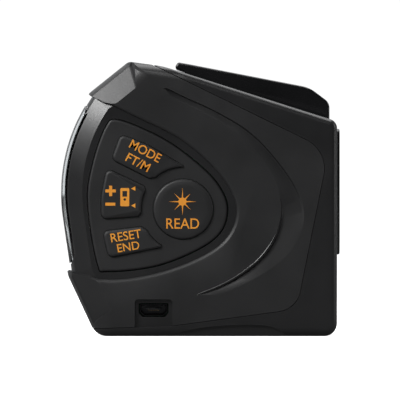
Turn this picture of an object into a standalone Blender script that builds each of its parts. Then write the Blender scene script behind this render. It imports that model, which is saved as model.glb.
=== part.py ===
"""Laser tape measure: a laser distance meter and a short steel tape in one pocket case.

+X points at the target, -Y is the keypad side, +Z is up. The origin is on the base, under the middle of the
case. All sizes below are millimetres; the helpers turn them into metres.
"""

import math

import bmesh
import bpy
from mathutils import Matrix, Vector

MM = 0.001

# Driving dimensions of the case
BODY_LENGTH = 78.4
BODY_HEIGHT = 77.0
BODY_WIDTH = 46.0
OVERMOLD = 0.9
GROOVE_DEPTH = 0.5
SCOOP_DEPTH = 1.0
WALL = 1.8
FIT = 0.3
PARTING_Y = 2.0
PANEL_PROUD = 0.9

# The styling lines are drawn on a sheet of this size and stretch with the case
SHEET_LENGTH = 78.4
SHEET_HEIGHT = 77.0

# Keypad
KEY_TRAVEL = 0.7
KEY_PROUD = 0.9
MAT_PROUD = 0.3
MAT_THICKNESS = 1.6
MEASURE_KEY_RADIUS = 8.5
KEY_LANE = 3.2
FLANGE_LIP = 1.4
MAT_WALL = 1.0
FLANGE_THICKNESS = 1.2
DOME_RADIUS = 3.0
DOME_HEIGHT = 0.8
BOARD_THICKNESS = 1.6
NUB_RADIUS = 1.4

# Tape and its reel
BLADE_WIDTH = 19.0
BLADE_THICKNESS = 0.4
BLADE_TROUGH = 2.4
BLADE_TRAVEL = 40.0
BLADE_Z = 8.3
FLANGE_WALL = 1.0
COIL_OUTER = 20.0
COIL_INNER = 12.0
HUB_WALL = 1.4
RIM_HEIGHT = 2.0
ARBOR_RADIUS = 3.0
SPRING_BAND = 0.4
SPRING_TURNS = 4
SPRING_WIDTH = 14.0
HOOK_THICKNESS = 1.0
HOOK_FLOAT = 1.0
HOOK_WIDTH = 18.0
HOOK_TOP = 13.2
HOOK_BOTTOM = 1.6
TAB_LENGTH = 9.0
TAB_WIDTH = 12.0
RIVET_RADIUS = 0.9
RIVET_SPACING = 6.0
POCKET_DEPTH = 2.8
POCKET_HALF = 12.0
POCKET_TOP = 15.2
MOUTH_LOW = 6.6
MOUTH_HIGH = 12.9

# Laser optics
PANEL_LOW = 22.8
PANEL_HIGH = 58.2
PANEL_HALF = 14.0
PANEL_THICKNESS = 1.6
CHASSIS_LENGTH = 18.5
CHASSIS_HALF = 11.0
CHASSIS_MARGIN = 2.4
RECEIVER_RADIUS = 7.0
EMITTER_RADIUS = 3.2
APERTURE_GAP = 3.6

# Display
WINDOW_HALF = 19.4
WINDOW_PROUD = 0.3
WINDOW_THICKNESS = 1.2
WINDOW_LEDGE = 2.0
LCD_WIDTH = 30.0
LCD_HEIGHT = 34.0
LCD_THICKNESS = 1.8
LCD_FRAME_THICKNESS = 1.4
LCD_FRAME_BORDER = 1.6

# Blade lock
LEVER_WIDTH = 20.0
LEVER_TIP_RISE = 5.6
LEVER_SUNK = 1.6
LEVER_ROUND = 0.8
PIN_RADIUS = 1.0
PIN_DEPTH = 2.1
LUG_RADIUS = 2.3
PIN_REACH = 2.4
PAD_APPROACH = 2.2
PAD_THICKNESS = 1.6
PAD_ANGLE = math.radians(50)

# Fasteners, clip and power
SCREW_RADIUS = 1.1
SCREW_HEAD_RADIUS = 2.0
SCREW_HEAD_HEIGHT = 1.4
SCREW_LENGTH = 26.0
BOSS_RADIUS = 2.6
CLIP_WIDTH = 18.0
CLIP_THICKNESS = 1.2
CLIP_GAP = 4.6
CLIP_PAD_RADIUS = 3.6
BADGE_THICKNESS = 0.8
SOCKET_WIDTH = 7.6
SOCKET_HEIGHT = 3.2
SOCKET_WALL = 0.4

# Values that follow from the ones above
HALF = BODY_WIDTH / 2
SHELL_INSET = OVERMOLD + FIT
CAVITY_INSET = SHELL_INSET + WALL
FRONT = BODY_LENGTH / 2 - PANEL_PROUD
INNER_HALF = HALF - CAVITY_INSET
FRONT_WALL = FRONT - CAVITY_INSET
FLANGE_RADIUS = COIL_OUTER + RIM_HEIGHT
REEL_Z = BLADE_Z + BLADE_THICKNESS + FIT + COIL_OUTER
REEL_HALF = BLADE_WIDTH / 2 + FIT + FLANGE_WALL
LCD_X = -BODY_LENGTH / 2 + 5.6
REEL_X = LCD_X + 3.3 + FLANGE_RADIUS
LEVER_HALF = LEVER_WIDTH / 2
BEZEL_Y = -(HALF - SHELL_INSET)
MAT_FACE_Y = BEZEL_Y - MAT_PROUD
KEY_FACE_Y = MAT_FACE_Y - KEY_PROUD
FLANGE_Y = -(INNER_HALF - FIT)
NUB_Y = FLANGE_Y + FLANGE_THICKNESS + 0.7
DOME_Y = NUB_Y + KEY_TRAVEL + FIT
BOARD_Y = DOME_Y + DOME_HEIGHT + FIT
BOARD_BACK_Y = BOARD_Y + BOARD_THICKNESS
ROUND_STEPS = 6
FAR = 60.0


def sheet(x, z):
    """A styling point of the drawing sheet, stretched to the case."""
    return x * BODY_LENGTH / SHEET_LENGTH, z * BODY_HEIGHT / SHEET_HEIGHT


def sheet_corners(corners):
    """Corners (x, z, radius) of the drawing sheet, stretched to the case."""
    return [(*sheet(x, z), radius) for x, z, radius in corners]


# Case outline seen from the keypad side, clockwise: (x, z, corner radius), and the edge rounding of the side
# that runs from each corner to the next
BODY_CORNERS = [
    (*sheet(-29.3, 0.0), 5.0),
    (*sheet(-37.2, 17.0), 6.0),
    (*sheet(-42.8, 51.6), 53.4),
    (*sheet(-24.8, 77.4), 12.0),
    (*sheet(-10.7, 75.7), 28.0),
    (FRONT, sheet(0, 60.2)[1], 2.6),
    (FRONT, 0.0, 3.6),
]
EDGE_ROUNDING = [6.0, 7.0, 7.0, 3.4, 1.8, 1.8, 2.4]

# Edge of the soft overmold, and the rim of its window over keypad and display
SOFT_CORNERS = sheet_corners(
    [(-60.0, 98.8, 0), (35.8, 51.9, 9.0), (26.9, 7.7, 7.0), (-8.0, 3.0, 10.0), (-60.0, 1.2, 0)]
)
RIM_POINTS = [
    (-46.0, 77.0), (-38.0, 72.0), (-30.2, 67.2), (-19.2, 61.8), (-4.9, 54.4), (6.0, 44.2),
    (9.9, 34.8), (5.4, 25.8), (-8.3, 19.0), (-24.0, 16.1), (-36.4, 17.9), (-46.0, 23.0),
]
GROOVE_POINTS = [
    (-10.4, 69.3), (0.8, 62.4), (9.4, 56.9), (16.8, 50.0), (21.8, 42.4), (22.9, 34.6), (20.4, 26.0),
    (14.6, 19.2), (5.4, 14.2), (-0.6, 11.2), (12.0, 13.2), (21.0, 19.8), (27.2, 28.8), (28.9, 37.4),
    (25.4, 44.8), (18.0, 53.4), (8.6, 60.6), (-1.8, 66.2), (-9.2, 69.6),
]
MAT_POINTS = [
    (-31.6, 37.2), (-30.3, 48.0), (-26.6, 58.6), (-23.2, 60.7), (-13.5, 57.0), (-4.9, 51.8), (4.4, 43.4),
    (7.7, 35.2), (3.7, 27.0), (-10.6, 20.1), (-25.6, 18.1), (-28.9, 20.4),
]
SCOOP_POINTS = [(-12.0, -1.0), (-3.0, 1.6), (5.0, 2.9), (14.0, 3.2), (21.0, 2.2), (25.5, -1.0), (6.0, -3.0)]
MEASURE_KEY = sheet(-4.8, 35.6)
SIDE_KEYS = {
    "key_mode": [(-22.3, 56.7, 1.0), (-14.5, 53.6, 12), (-3.0, 46.8, 0.5), (-10.5, 42.2, 0.5), (-25.0, 49.5, 1)],
    "key_reference": [(-26.3, 47.2, 1.0), (-12.0, 40.4, 0.5), (-12.0, 33.9, 0.5), (-27.8, 32.7, 1.0), (-27.9, 39, 9)],
    "key_clear": [(-27.5, 29.5, 1.0), (-13.0, 31.2, 0.5), (-6.0, 25.8, 0.5), (-25.7, 21.9, 1.0)],
}
NUB_POINTS = {"key_mode": (-17.5, 50.5), "key_reference": (-21.5, 39.2), "key_clear": (-19.5, 26.6)}
LEVER_CORNERS = [(-7.5, 75.5, 0.5), (-6.3, 77.0, 0.5), (-3.4, 76.4, 0.8), (30.7, 69.9, 8.0), (36.4, 65.6, 3.5)]
SCREW_POINTS = [sheet(-22.0, 66.0), sheet(-26.0, 9.0), sheet(16.0, 57.4), sheet(24.0, 16.8)]
SOCKET_POINT = (sheet(-13.1, 0)[0], 7.4)
CLIP_SCREW = sheet(-13.5, 49.5)
WINDOW_LOW = 20.4
WINDOW_HIGH = 64.6
NOTCH_HALF = 5.3
NOTCH_TOP = 10.4

COLOURS = {
    "soft_black": ((0.022, 0.022, 0.023), 0.62, 0.0),
    "hard_black": ((0.015, 0.015, 0.016), 0.42, 0.0),
    "gloss_black": ((0.008, 0.008, 0.009), 0.15, 0.0),
    "rubber": ((0.018, 0.018, 0.019), 0.7, 0.0),
    "clear": ((0.30, 0.33, 0.34), 0.05, 0.0),
    "steel": ((0.45, 0.45, 0.46), 0.3, 1.0),
    "brass": ((0.60, 0.42, 0.18), 0.3, 1.0),
    "blade_yellow": ((0.80, 0.52, 0.03), 0.4, 0.0),
    "board_green": ((0.02, 0.16, 0.06), 0.5, 0.0),
    "pouch": ((0.35, 0.37, 0.40), 0.35, 1.0),
    "nylon": ((0.55, 0.54, 0.50), 0.5, 0.0),
}


def clear_scene():
    """Leaves the scene with no objects."""
    for obj in list(bpy.data.objects):
        bpy.data.objects.remove(obj, do_unlink=True)


def new_collection(name):
    collection = bpy.data.collections.new(name)
    bpy.context.scene.collection.children.link(collection)
    return collection


def finish_of(name):
    """The Principled material with this name, made the first time it is asked for."""
    material = bpy.data.materials.get(name)
    if material is None:
        colour, roughness, metallic = COLOURS[name]
        material = bpy.data.materials.new(name)
        material.use_nodes = True
        shader = material.node_tree.nodes["Principled BSDF"]
        shader.inputs["Base Color"].default_value = (*colour, 1.0)
        shader.inputs["Roughness"].default_value = roughness
        shader.inputs["Metallic"].default_value = metallic
    return material


def place(obj, finish=None):
    """Puts an object in the part with its finish, or with the cutters when it has none."""
    for collection in list(obj.users_collection):
        collection.objects.unlink(obj)
    if finish is None:
        CUTTERS.objects.link(obj)
        obj.hide_render = True
        obj.display_type = "WIRE"
        return obj
    PARTS.objects.link(obj)
    obj.data.materials.clear()
    obj.data.materials.append(finish_of(finish))
    return obj


def mesh_object(name, mesh_data, finish=None):
    """A new object from a bmesh, which is freed."""
    bmesh.ops.recalc_face_normals(mesh_data, faces=mesh_data.faces[:])
    mesh = bpy.data.meshes.new(name)
    mesh_data.to_mesh(mesh)
    mesh_data.free()
    return place(bpy.data.objects.new(name, mesh), finish)


def frozen(obj, name, finish=None):
    """A plain mesh copy of what an object's modifiers make of it. The object goes to the cutters."""
    graph = bpy.context.evaluated_depsgraph_get()
    mesh = bpy.data.meshes.new_from_object(obj.evaluated_get(graph))
    mesh.transform(obj.matrix_world)
    welded = bmesh.new()
    welded.from_mesh(mesh)
    bmesh.ops.remove_doubles(welded, verts=welded.verts[:], dist=1e-7)
    bpy.data.objects.remove(obj, do_unlink=True)
    return mesh_object(name, welded, finish)


def boolean(obj, other, operation):
    modifier = obj.modifiers.new(operation.lower(), "BOOLEAN")
    modifier.operation = operation
    modifier.object = other
    modifier.solver = "EXACT"
    return obj


def cut(obj, *others):
    """Takes the other solids away from the object."""
    for other in others:
        boolean(obj, other, "DIFFERENCE")
    return obj


def join(obj, *others):
    """Adds the other solids to the object."""
    for other in others:
        boolean(obj, other, "UNION")
    return obj


def keep(obj, other):
    """Keeps what the object shares with the other solid."""
    return boolean(obj, other, "INTERSECT")


def rounded(corners, steps=ROUND_STEPS):
    """Outline through corners (x, z, radius), each corner filleted by an arc of that radius."""
    outline = []
    for i, (x, z, radius) in enumerate(corners):
        here = Vector((x, z))
        before = (Vector(corners[i - 1][:2]) - here).normalized()
        after = (Vector(corners[(i + 1) % len(corners)][:2]) - here).normalized()
        half_angle = before.angle(after) / 2
        if radius <= 0 or half_angle > math.radians(89.5):
            outline.append((x, z))
            continue
        bisector = (before + after).normalized()
        centre = here + bisector * radius / math.sin(half_angle)
        start = here + before * radius / math.tan(half_angle) - centre
        turn = start.angle_signed(here + after * radius / math.tan(half_angle) - centre)
        for step in range(steps + 1):
            spoke = Matrix.Rotation(-turn * step / steps, 2) @ start
            outline.append(tuple(centre + spoke))
    return outline


def inset_corners(corners, distances):
    """The corners with each side moved inwards by its own distance. The order is clockwise."""
    points = [Vector(corner[:2]) for corner in corners]
    count = len(points)
    sides = []
    for i, distance in enumerate(distances):
        along = (points[(i + 1) % count] - points[i]).normalized()
        sides.append((points[i] + Vector((along.y, -along.x)) * distance, along))
    moved = []
    for i in range(count):
        (p, d), (q, e) = sides[i - 1], sides[i]
        reach = (q - p).cross(e) / d.cross(e)
        radius = max(corners[i][2] - (distances[i - 1] + distances[i]) / 2, 0.4)
        moved.append((*(p + d * reach), radius))
    return moved


def smooth(points, closed=True, steps=4):
    """A curve through the points, as Catmull-Rom pieces."""
    count = len(points)
    spots = [Vector(sheet(*point)) for point in points]
    curve = []
    for i in range(count if closed else count - 1):
        if closed:
            a, b, c, d = (spots[(i + k) % count] for k in (-1, 0, 1, 2))
        else:
            a, b, c, d = (spots[min(max(i + k, 0), count - 1)] for k in (-1, 0, 1, 2))
        for step in range(steps):
            t = step / steps
            bend = (2 * a - 5 * b + 4 * c - d) * t * t + (3 * b - a - 3 * c + d) * t**3
            curve.append(tuple(b + ((c - a) * t + bend) / 2))
    if not closed:
        curve.append(tuple(spots[-1]))
    return curve


def grown(outline, distance):
    """A closed outline moved outwards by a distance, whichever way it runs."""
    count = len(outline)
    points = [Vector(point) for point in outline]
    area = sum(points[i - 1].cross(points[i]) for i in range(count))
    side = 1 if area > 0 else -1
    moved = []
    for i in range(count):
        along = (points[(i + 1) % count] - points[i - 1]).normalized()
        moved.append(tuple(points[i] + Vector((along.y, -along.x)) * distance * side))
    return moved


def circle(centre, radius, count=32):
    angles = (math.tau * k / count for k in range(count))
    return [(centre[0] + radius * math.cos(a), centre[1] + radius * math.sin(a)) for a in angles]


AXIS_TURNS = {
    "X": Matrix(((0, 0, 1), (1, 0, 0), (0, 1, 0))).to_4x4(),
    "Y": Matrix(((1, 0, 0), (0, 0, -1), (0, 1, 0))).to_4x4(),
    "Z": Matrix.Identity(4),
}


def prism(name, outlines, low, high, finish=None, axis="Y"):
    """A flat outline, with any holes, given thickness from low to high along an axis."""
    outlines = outlines if isinstance(outlines[0], list) else [outlines]
    curve = bpy.data.curves.new(name, "CURVE")
    curve.dimensions = "2D"
    curve.fill_mode = "BOTH"
    curve.extrude = (high - low) / 2 * MM
    for outline in outlines:
        spline = curve.splines.new("POLY")
        spline.points.add(len(outline) - 1)
        for point, (u, v) in zip(spline.points, outline):
            point.co = (u * MM, v * MM, 0, 1)
        spline.use_cyclic_u = True
    flat = bpy.data.objects.new(name + "_outline", curve)
    CUTTERS.objects.link(flat)
    middle = (low + high) / 2 * MM
    flat.matrix_world = Matrix.Translation({"X": (middle, 0, 0), "Y": (0, middle, 0), "Z": (0, 0, middle)}[axis])
    flat.matrix_world = flat.matrix_world @ AXIS_TURNS[axis]
    bpy.context.view_layer.update()
    return frozen(flat, name, finish)


def box(name, low, high, finish=None, bevel=0.0, turn=0.0, pivot=(0, 0)):
    """A block between two corners, with an optional edge bevel and a turn about Y round pivot (x, z)."""
    block = bmesh.new()
    bmesh.ops.create_cube(block, size=1.0)
    size = Vector(high) - Vector(low)
    middle = (Vector(high) + Vector(low)) / 2
    for vertex in block.verts:
        vertex.co = Vector(vertex.co[k] * size[k] + middle[k] for k in range(3)) * MM
    if bevel:
        bmesh.ops.bevel(
            block, geom=block.edges[:], offset=bevel * MM, segments=2, profile=0.5, affect="EDGES"
        )
    if turn:
        centre = Vector((pivot[0], 0, pivot[1])) * MM
        bmesh.ops.rotate(block, cent=centre, matrix=Matrix.Rotation(turn, 3, "Y"), verts=block.verts[:])
    return mesh_object(name, block, finish)


def disc(name, radius, start, end, finish=None, axis="Y", centre=(0, 0), segments=16):
    """A cylinder from start to end along an axis, centred at (x, z) for Y or (y, z) for X."""
    block = bmesh.new()
    bmesh.ops.create_cone(
        block,
        cap_ends=True,
        segments=segments,
        radius1=radius * MM,
        radius2=radius * MM,
        depth=(end - start) * MM,
    )
    middle = (start + end) / 2
    spot = (centre[0], middle, centre[1]) if axis == "Y" else (middle, *centre)
    bmesh.ops.transform(
        block, matrix=Matrix.Translation(Vector(spot) * MM) @ AXIS_TURNS[axis], verts=block.verts[:]
    )
    return mesh_object(name, block, finish)


def turned(name, profile, finish=None, axis="Y", centre=(0, 0), segments=24):
    """A profile of (radius, height) turned about an axis. It runs down the outer side."""
    wire = bmesh.new()
    spots = [wire.verts.new((radius * MM, 0, height * MM)) for radius, height in profile]
    hollow = min(radius for radius, _ in profile) > 0
    for a, b in zip(spots, spots[1:] + ([spots[0]] if hollow else [])):
        wire.edges.new((a, b))
    mesh = bpy.data.meshes.new(name)
    wire.to_mesh(mesh)
    wire.free()
    obj = place(bpy.data.objects.new(name, mesh))
    screw = obj.modifiers.new("turn", "SCREW")
    screw.axis = "Z"
    screw.steps = screw.render_steps = segments
    screw.use_merge_vertices = True
    screw.merge_threshold = 1e-6
    obj.location = Vector((centre[0], 0, centre[1]) if axis == "Y" else (0, *centre)) * MM
    obj.rotation_euler = AXIS_TURNS[axis].to_euler()
    bpy.context.view_layer.update()
    return frozen(obj, name, finish)


def ribbon(name, path, low, high, thickness, finish, axis):
    """A strip that follows a path and is given its thickness by Solidify."""
    strip = bmesh.new()
    rows = []
    for u, v in path:
        ends = []
        for w in (low, high):
            spot = {"X": (w, u, v), "Z": (u, v, w)}[axis]
            ends.append(strip.verts.new(Vector(spot) * MM))
        rows.append(ends)
    for (a, b), (c, d) in zip(rows, rows[1:]):
        strip.faces.new((a, b, d, c))
    obj = mesh_object(name, strip, finish)
    solidify = obj.modifiers.new("thickness", "SOLIDIFY")
    solidify.thickness = thickness * MM
    solidify.offset = 0
    solidify.use_even_offset = True
    return obj


def tube(name, points, radius, finish):
    """A round lead along a smooth path of 3D points."""
    curve = bpy.data.curves.new(name, "CURVE")
    curve.dimensions = "3D"
    curve.bevel_depth = radius * MM
    curve.bevel_resolution = 2
    curve.use_fill_caps = True
    spline = curve.splines.new("POLY")
    spline.points.add(len(points) - 1)
    for point, spot in zip(spline.points, points):
        point.co = (*(Vector(spot) * MM), 1)
    return place(bpy.data.objects.new(name, curve), finish)


def envelope(name, inset):
    """The case's outer form, moved inwards by inset: a loft from its outline to its two flat sides."""
    count = len(BODY_CORNERS)
    equator = rounded(inset_corners(BODY_CORNERS, [inset] * count))
    flat_insets = [max(edge, inset + 0.6) for edge in EDGE_ROUNDING]
    flat = rounded(inset_corners(BODY_CORNERS, flat_insets))
    shoulder = []
    for i in range(count):
        before, after = EDGE_ROUNDING[i - 1], EDGE_ROUNDING[i]
        for step in range(ROUND_STEPS + 1):
            shoulder.append(HALF - (before + (after - before) * step / ROUND_STEPS))
    reach = HALF - inset
    angles = [math.pi / 2 * k / 4 for k in range(5)]
    loft = bmesh.new()
    rings = []
    for side, ordered in ((-1, reversed(angles)), (1, angles)):
        for angle in ordered:
            ring = []
            for (x0, z0), (x1, z1), start in zip(equator, flat, shoulder):
                inward = 1 - math.cos(angle)
                start = min(start, reach - 0.5)
                y = side * (start + (reach - start) * math.sin(angle))
                spot = Vector((x0 + (x1 - x0) * inward, y, z0 + (z1 - z0) * inward))
                ring.append(loft.verts.new(spot * MM))
            rings.append(ring)
    for first, second in zip(rings, rings[1:]):
        for i in range(len(first)):
            loft.faces.new((first[i - 1], first[i], second[i]))
            loft.faces.new((first[i - 1], second[i], second[i - 1]))
    loft.faces.new(rings[0])
    loft.faces.new(rings[-1])
    return mesh_object(name, loft)


def top_of_case(x):
    """Height of the case's sloping top above a place along it."""
    (x0, z0, _), (x1, z1, _) = BODY_CORNERS[4], BODY_CORNERS[5]
    return z0 + (z1 - z0) * (x - x0) / (x1 - x0)


PIN_X = sheet(-1.0, 0)[0]
PIN_Z = top_of_case(PIN_X) - PIN_DEPTH
SLOT_BACK = PIN_X - LUG_RADIUS - 1.2
RIM = smooth(RIM_POINTS, closed=False)
MAT_OUTLINE = smooth(MAT_POINTS)


def polar(distance, angle):
    """A place at this distance and angle from the reel's centre."""
    return REEL_X + distance * math.cos(angle), REEL_Z + distance * math.sin(angle)


def window_block(name, grow):
    """A block round the back of the case, as wide and high as the display window grown by a distance."""
    low, high = sheet(0, WINDOW_LOW)[1] - grow, sheet(0, WINDOW_HIGH)[1] + grow
    half = WINDOW_HALF + grow
    return box(name, (-FAR, -half, low), (LCD_X + 8, half, high))


def window_solid(name, grow):
    """The display window's own form, grown on every side but the outer one."""
    outer = SHELL_INSET - WINDOW_PROUD
    solid = envelope(name, outer if grow == 0 else 0)
    cut(solid, envelope(name + "_inside", outer + WINDOW_THICKNESS + grow))
    return keep(solid, window_block(name + "_block", grow))


def make_whole_shell():
    """Both hard shells in one piece, before they are parted."""
    shell = envelope("case_core", SHELL_INSET)
    land = envelope("case_land", 0)
    soft_area = rounded(inset_corners(SOFT_CORNERS, [-FIT] * len(SOFT_CORNERS)))
    cut(land, prism("land_cutter", soft_area, -FAR, FAR))
    rim_area = grown(RIM, -FIT)
    cut(land, prism("land_rim_cutter", rim_area, -FAR, FAR))
    join(shell, land)
    cut(shell, envelope("case_cavity", CAVITY_INSET))
    cut(shell, window_solid("window_seat", FIT))
    openings = [
        window_block("display_opening", -WINDOW_LEDGE),
        box(
            "panel_pocket",
            (FRONT - PANEL_THICKNESS + PANEL_PROUD - FIT, -PANEL_HALF - FIT, PANEL_LOW - FIT),
            (FRONT + 5, PANEL_HALF + FIT, PANEL_HIGH + FIT),
        ),
        box(
            "optics_cutter",
            (FRONT_WALL - 3, -CHASSIS_HALF + 1, PANEL_LOW + 2.2),
            (FRONT + 5, CHASSIS_HALF - 1, PANEL_HIGH - 7.5),
        ),
        box("hook_pocket", (FRONT - POCKET_DEPTH, -POCKET_HALF, -5), (FRONT + 5, POCKET_HALF, POCKET_TOP)),
        box(
            "mouth_cutter",
            (FRONT_WALL - 3, -BLADE_WIDTH / 2 - 0.6, MOUTH_LOW),
            (FRONT + 5, BLADE_WIDTH / 2 + 0.6, MOUTH_HIGH),
        ),
        prism(
            "lever_slot",
            [
                (SLOT_BACK, top_of_case(SLOT_BACK) - 8),
                (SLOT_BACK, BODY_HEIGHT + 5),
                (FRONT - 1.5, BODY_HEIGHT + 5),
                (FRONT - 1.5, top_of_case(FRONT) - 8),
            ],
            -LEVER_HALF - FIT,
            LEVER_HALF + FIT,
        ),
    ]
    cut(shell, *openings)
    for side in (-1, 1):
        ends = sorted((side * FAR, side * (HALF - SCOOP_DEPTH)))
        cut(shell, prism("side_scoop", smooth(SCOOP_POINTS), *ends))
        ends = sorted((side * (LEVER_HALF + FIT + 0.01), side * (LEVER_HALF + FIT + PIN_REACH)))
        join(shell, disc("pin_boss", LUG_RADIUS, *ends, centre=(PIN_X, PIN_Z - 0.2)))
    bore = LEVER_HALF + FIT + PIN_REACH - 0.6
    cut(shell, disc("pin_bore", PIN_RADIUS + FIT, -bore, bore, centre=(PIN_X, PIN_Z)))
    return frozen(shell, "whole_shell")


def half_space(name, side):
    """A block that fills the right (-1) or left (1) half of the case, up to the parting plane."""
    plane = PARTING_Y + side * FIT / 2
    low, high = sorted((side * FAR, plane))
    return box(name, (-FAR, low, -FAR), (FAR, high, 2 * FAR))


def make_right_shell(whole):
    """Keypad-side shell, with its four screw bosses and the holes for keypad and charging socket."""
    shell = keep(frozen(whole, "right_shell", "hard_black"), half_space("right_half", -1))
    cut(shell, prism("keypad_hole", grown(MAT_OUTLINE, FIT), -FAR, -INNER_HALF + 3))
    x, z = SOCKET_POINT
    reach = SOCKET_WIDTH / 2 + FIT, SOCKET_HEIGHT / 2 + FIT
    cut(
        shell,
        box("socket_hole", (x - reach[0], -FAR, z - reach[1]), (x + reach[0], -INNER_HALF + 3, z + reach[1])),
    )
    for i, spot in enumerate(SCREW_POINTS, 1):
        join(shell, disc(f"right_boss_{i}", BOSS_RADIUS, -INNER_HALF - 0.6, PARTING_Y - FIT / 2, centre=spot))
        depth = INNER_HALF - SCREW_LENGTH - 1.0
        cut(
            shell,
            disc(f"pilot_{i}", SCREW_RADIUS + FIT, depth, PARTING_Y + 1, centre=spot, segments=12),
        )
    return shell


def make_left_shell(whole):
    """Far-side shell, with counterbored screw holes, the clip's screw hole and a recess for its blank plate."""
    shell = keep(frozen(whole, "left_shell", "hard_black"), half_space("left_half", 1))
    for i, spot in enumerate(SCREW_POINTS, 1):
        join(shell, disc(f"left_boss_{i}", BOSS_RADIUS, PARTING_Y + FIT / 2, INNER_HALF + 0.6, centre=spot))
        cut(shell, disc(f"shank_hole_{i}", SCREW_RADIUS + FIT, -5, FAR, centre=spot, segments=12))
        seat = HALF - SHELL_INSET - SCREW_HEAD_HEIGHT - FIT
        cut(shell, disc(f"head_seat_{i}", SCREW_HEAD_RADIUS + FIT, seat, FAR, centre=spot))
    cut(shell, prism("badge_recess", grown(MAT_OUTLINE, FIT), HALF - SHELL_INSET - BADGE_THICKNESS, FAR))
    join(shell, disc("clip_pad", CLIP_PAD_RADIUS, INNER_HALF + 0.2, HALF, centre=CLIP_SCREW, segments=24))
    cut(shell, disc("clip_screw_hole", 1.2 + FIT, INNER_HALF - 3, FAR, centre=CLIP_SCREW, segments=12))
    reel = REEL_X, REEL_Z
    join(shell, disc("arbor_collar", ARBOR_RADIUS + 2.2, REEL_HALF + 1.0, INNER_HALF + 0.6, centre=reel, segments=24))
    cut(shell, disc("arbor_seat", ARBOR_RADIUS + FIT, 0, INNER_HALF, centre=reel, segments=24))
    return shell


def make_overmold(name, side):
    """Soft skin of one side, with its window over keypad and display."""
    skin = envelope(name, 0)
    cut(skin, envelope(name + "_inside", OVERMOLD))
    keep(skin, prism(name + "_area", rounded(SOFT_CORNERS), -FAR, FAR))
    cut(skin, prism(name + "_rim", RIM, -FAR, FAR))
    keep(skin, half_space(name + "_half", side))
    ends = sorted((side * FAR, side * (HALF - GROOVE_DEPTH)))
    cut(skin, prism(name + "_groove", smooth(GROOVE_POINTS), *ends))
    if side < 0:
        x = SOCKET_POINT[0]
        cut(skin, box("socket_notch", (x - NOTCH_HALF, -FAR, -5), (x + NOTCH_HALF, -HALF + 4, NOTCH_TOP)))
    else:
        for i, spot in enumerate(SCREW_POINTS, 1):
            cut(skin, disc(f"head_hole_{i}", SCREW_HEAD_RADIUS + FIT, 0, FAR, centre=spot))
    return frozen(skin, name, "soft_black")


def make_case():
    whole = make_whole_shell()
    copy = place(bpy.data.objects.new("whole_copy", whole.data.copy()))
    make_right_shell(whole)
    make_left_shell(copy)
    make_overmold("right_overmold", -1)
    make_overmold("left_overmold", 1)
    badge = HALF - SHELL_INSET - BADGE_THICKNESS + FIT
    hole = circle(CLIP_SCREW, CLIP_PAD_RADIUS + FIT, 24)
    prism("side_badge", [MAT_OUTLINE, hole], badge, badge + BADGE_THICKNESS, "gloss_black")
    for i, (x, z) in enumerate(SCREW_POINTS, 1):
        top = HALF - SHELL_INSET
        profile = [
            (0, top),
            (SCREW_HEAD_RADIUS, top),
            (SCREW_HEAD_RADIUS, top - SCREW_HEAD_HEIGHT),
            (SCREW_RADIUS, top - SCREW_HEAD_HEIGHT),
            (SCREW_RADIUS, top - SCREW_LENGTH),
            (0, top - SCREW_LENGTH - 1),
        ]
        turned(f"case_screw_{i}", [(r, -h) for r, h in reversed(profile)], "steel", centre=(x, z), segments=12)


def make_display():
    """Clear window, LCD and its frame at the back of the case."""
    frozen(window_solid("window_blank", 0), "display_window", "clear")
    middle = sheet(0, 42.0)[1]
    turn, pivot = math.radians(5), (LCD_X, middle)
    low, high = middle - LCD_HEIGHT / 2, middle + LCD_HEIGHT / 2
    half = LCD_WIDTH / 2
    box("lcd_panel", (LCD_X, -half, low), (LCD_X + LCD_THICKNESS, half, high), "clear", turn=turn, pivot=pivot)
    back = LCD_X + LCD_THICKNESS + FIT
    border = LCD_FRAME_BORDER
    box(
        "lcd_frame",
        (back, -half + border / 2, low + border / 2),
        (back + LCD_FRAME_THICKNESS, half - border / 2, high - border / 2),
        "nylon",
        turn=turn,
        pivot=pivot,
    )
    path = [(back + 2.9, -4.0), (back + 3.0, -10.5), (back + 4.6, BOARD_BACK_Y + 0.6)]
    ribbon("lcd_flex", path, middle + 3, middle + 11, 0.3, "brass", "Z")


def side_key_outline(name):
    """A side key's outline: its own corners, with the lane round the measure key cut out of them."""
    lane = MEASURE_KEY_RADIUS + KEY_LANE
    centre = Vector(MEASURE_KEY)
    outline = [Vector(point) for point in rounded(sheet_corners(SIDE_KEYS[name]), steps=3)]
    inside = [(point - centre).length < lane for point in outline]
    count = len(outline)
    first = next(i for i in range(count) if inside[i] and not inside[i - 1])
    kept = [outline[(first + i) % count] for i in range(count)]
    kept = [point for point in kept if (point - centre).length >= lane]
    ends = [kept[-1], kept[0]]
    angles = [math.atan2(end.y - centre.y, end.x - centre.x) for end in ends]
    sweep = (angles[1] - angles[0] + math.pi) % math.tau - math.pi
    arc = [angles[0] + sweep * k / 8 for k in range(9)]
    return [tuple(point) for point in kept] + [
        (centre.x + lane * math.cos(a), centre.y + lane * math.sin(a)) for a in arc
    ]


def make_key(name, outline, nub):
    """One key: its cap, a wider flange behind the mat and the nub that presses its dome."""
    key = prism(name, outline, KEY_FACE_Y, FLANGE_Y + 0.2, "rubber")
    join(key, prism(name + "_flange", grown(outline, 0.6), FLANGE_Y + FIT, FLANGE_Y + FLANGE_THICKNESS))
    join(key, prism(name + "_neck", outline, FLANGE_Y, FLANGE_Y + FIT + 0.2))
    join(key, disc(name + "_nub", NUB_RADIUS, FLANGE_Y + 0.5, NUB_Y, centre=nub, segments=12))


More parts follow.
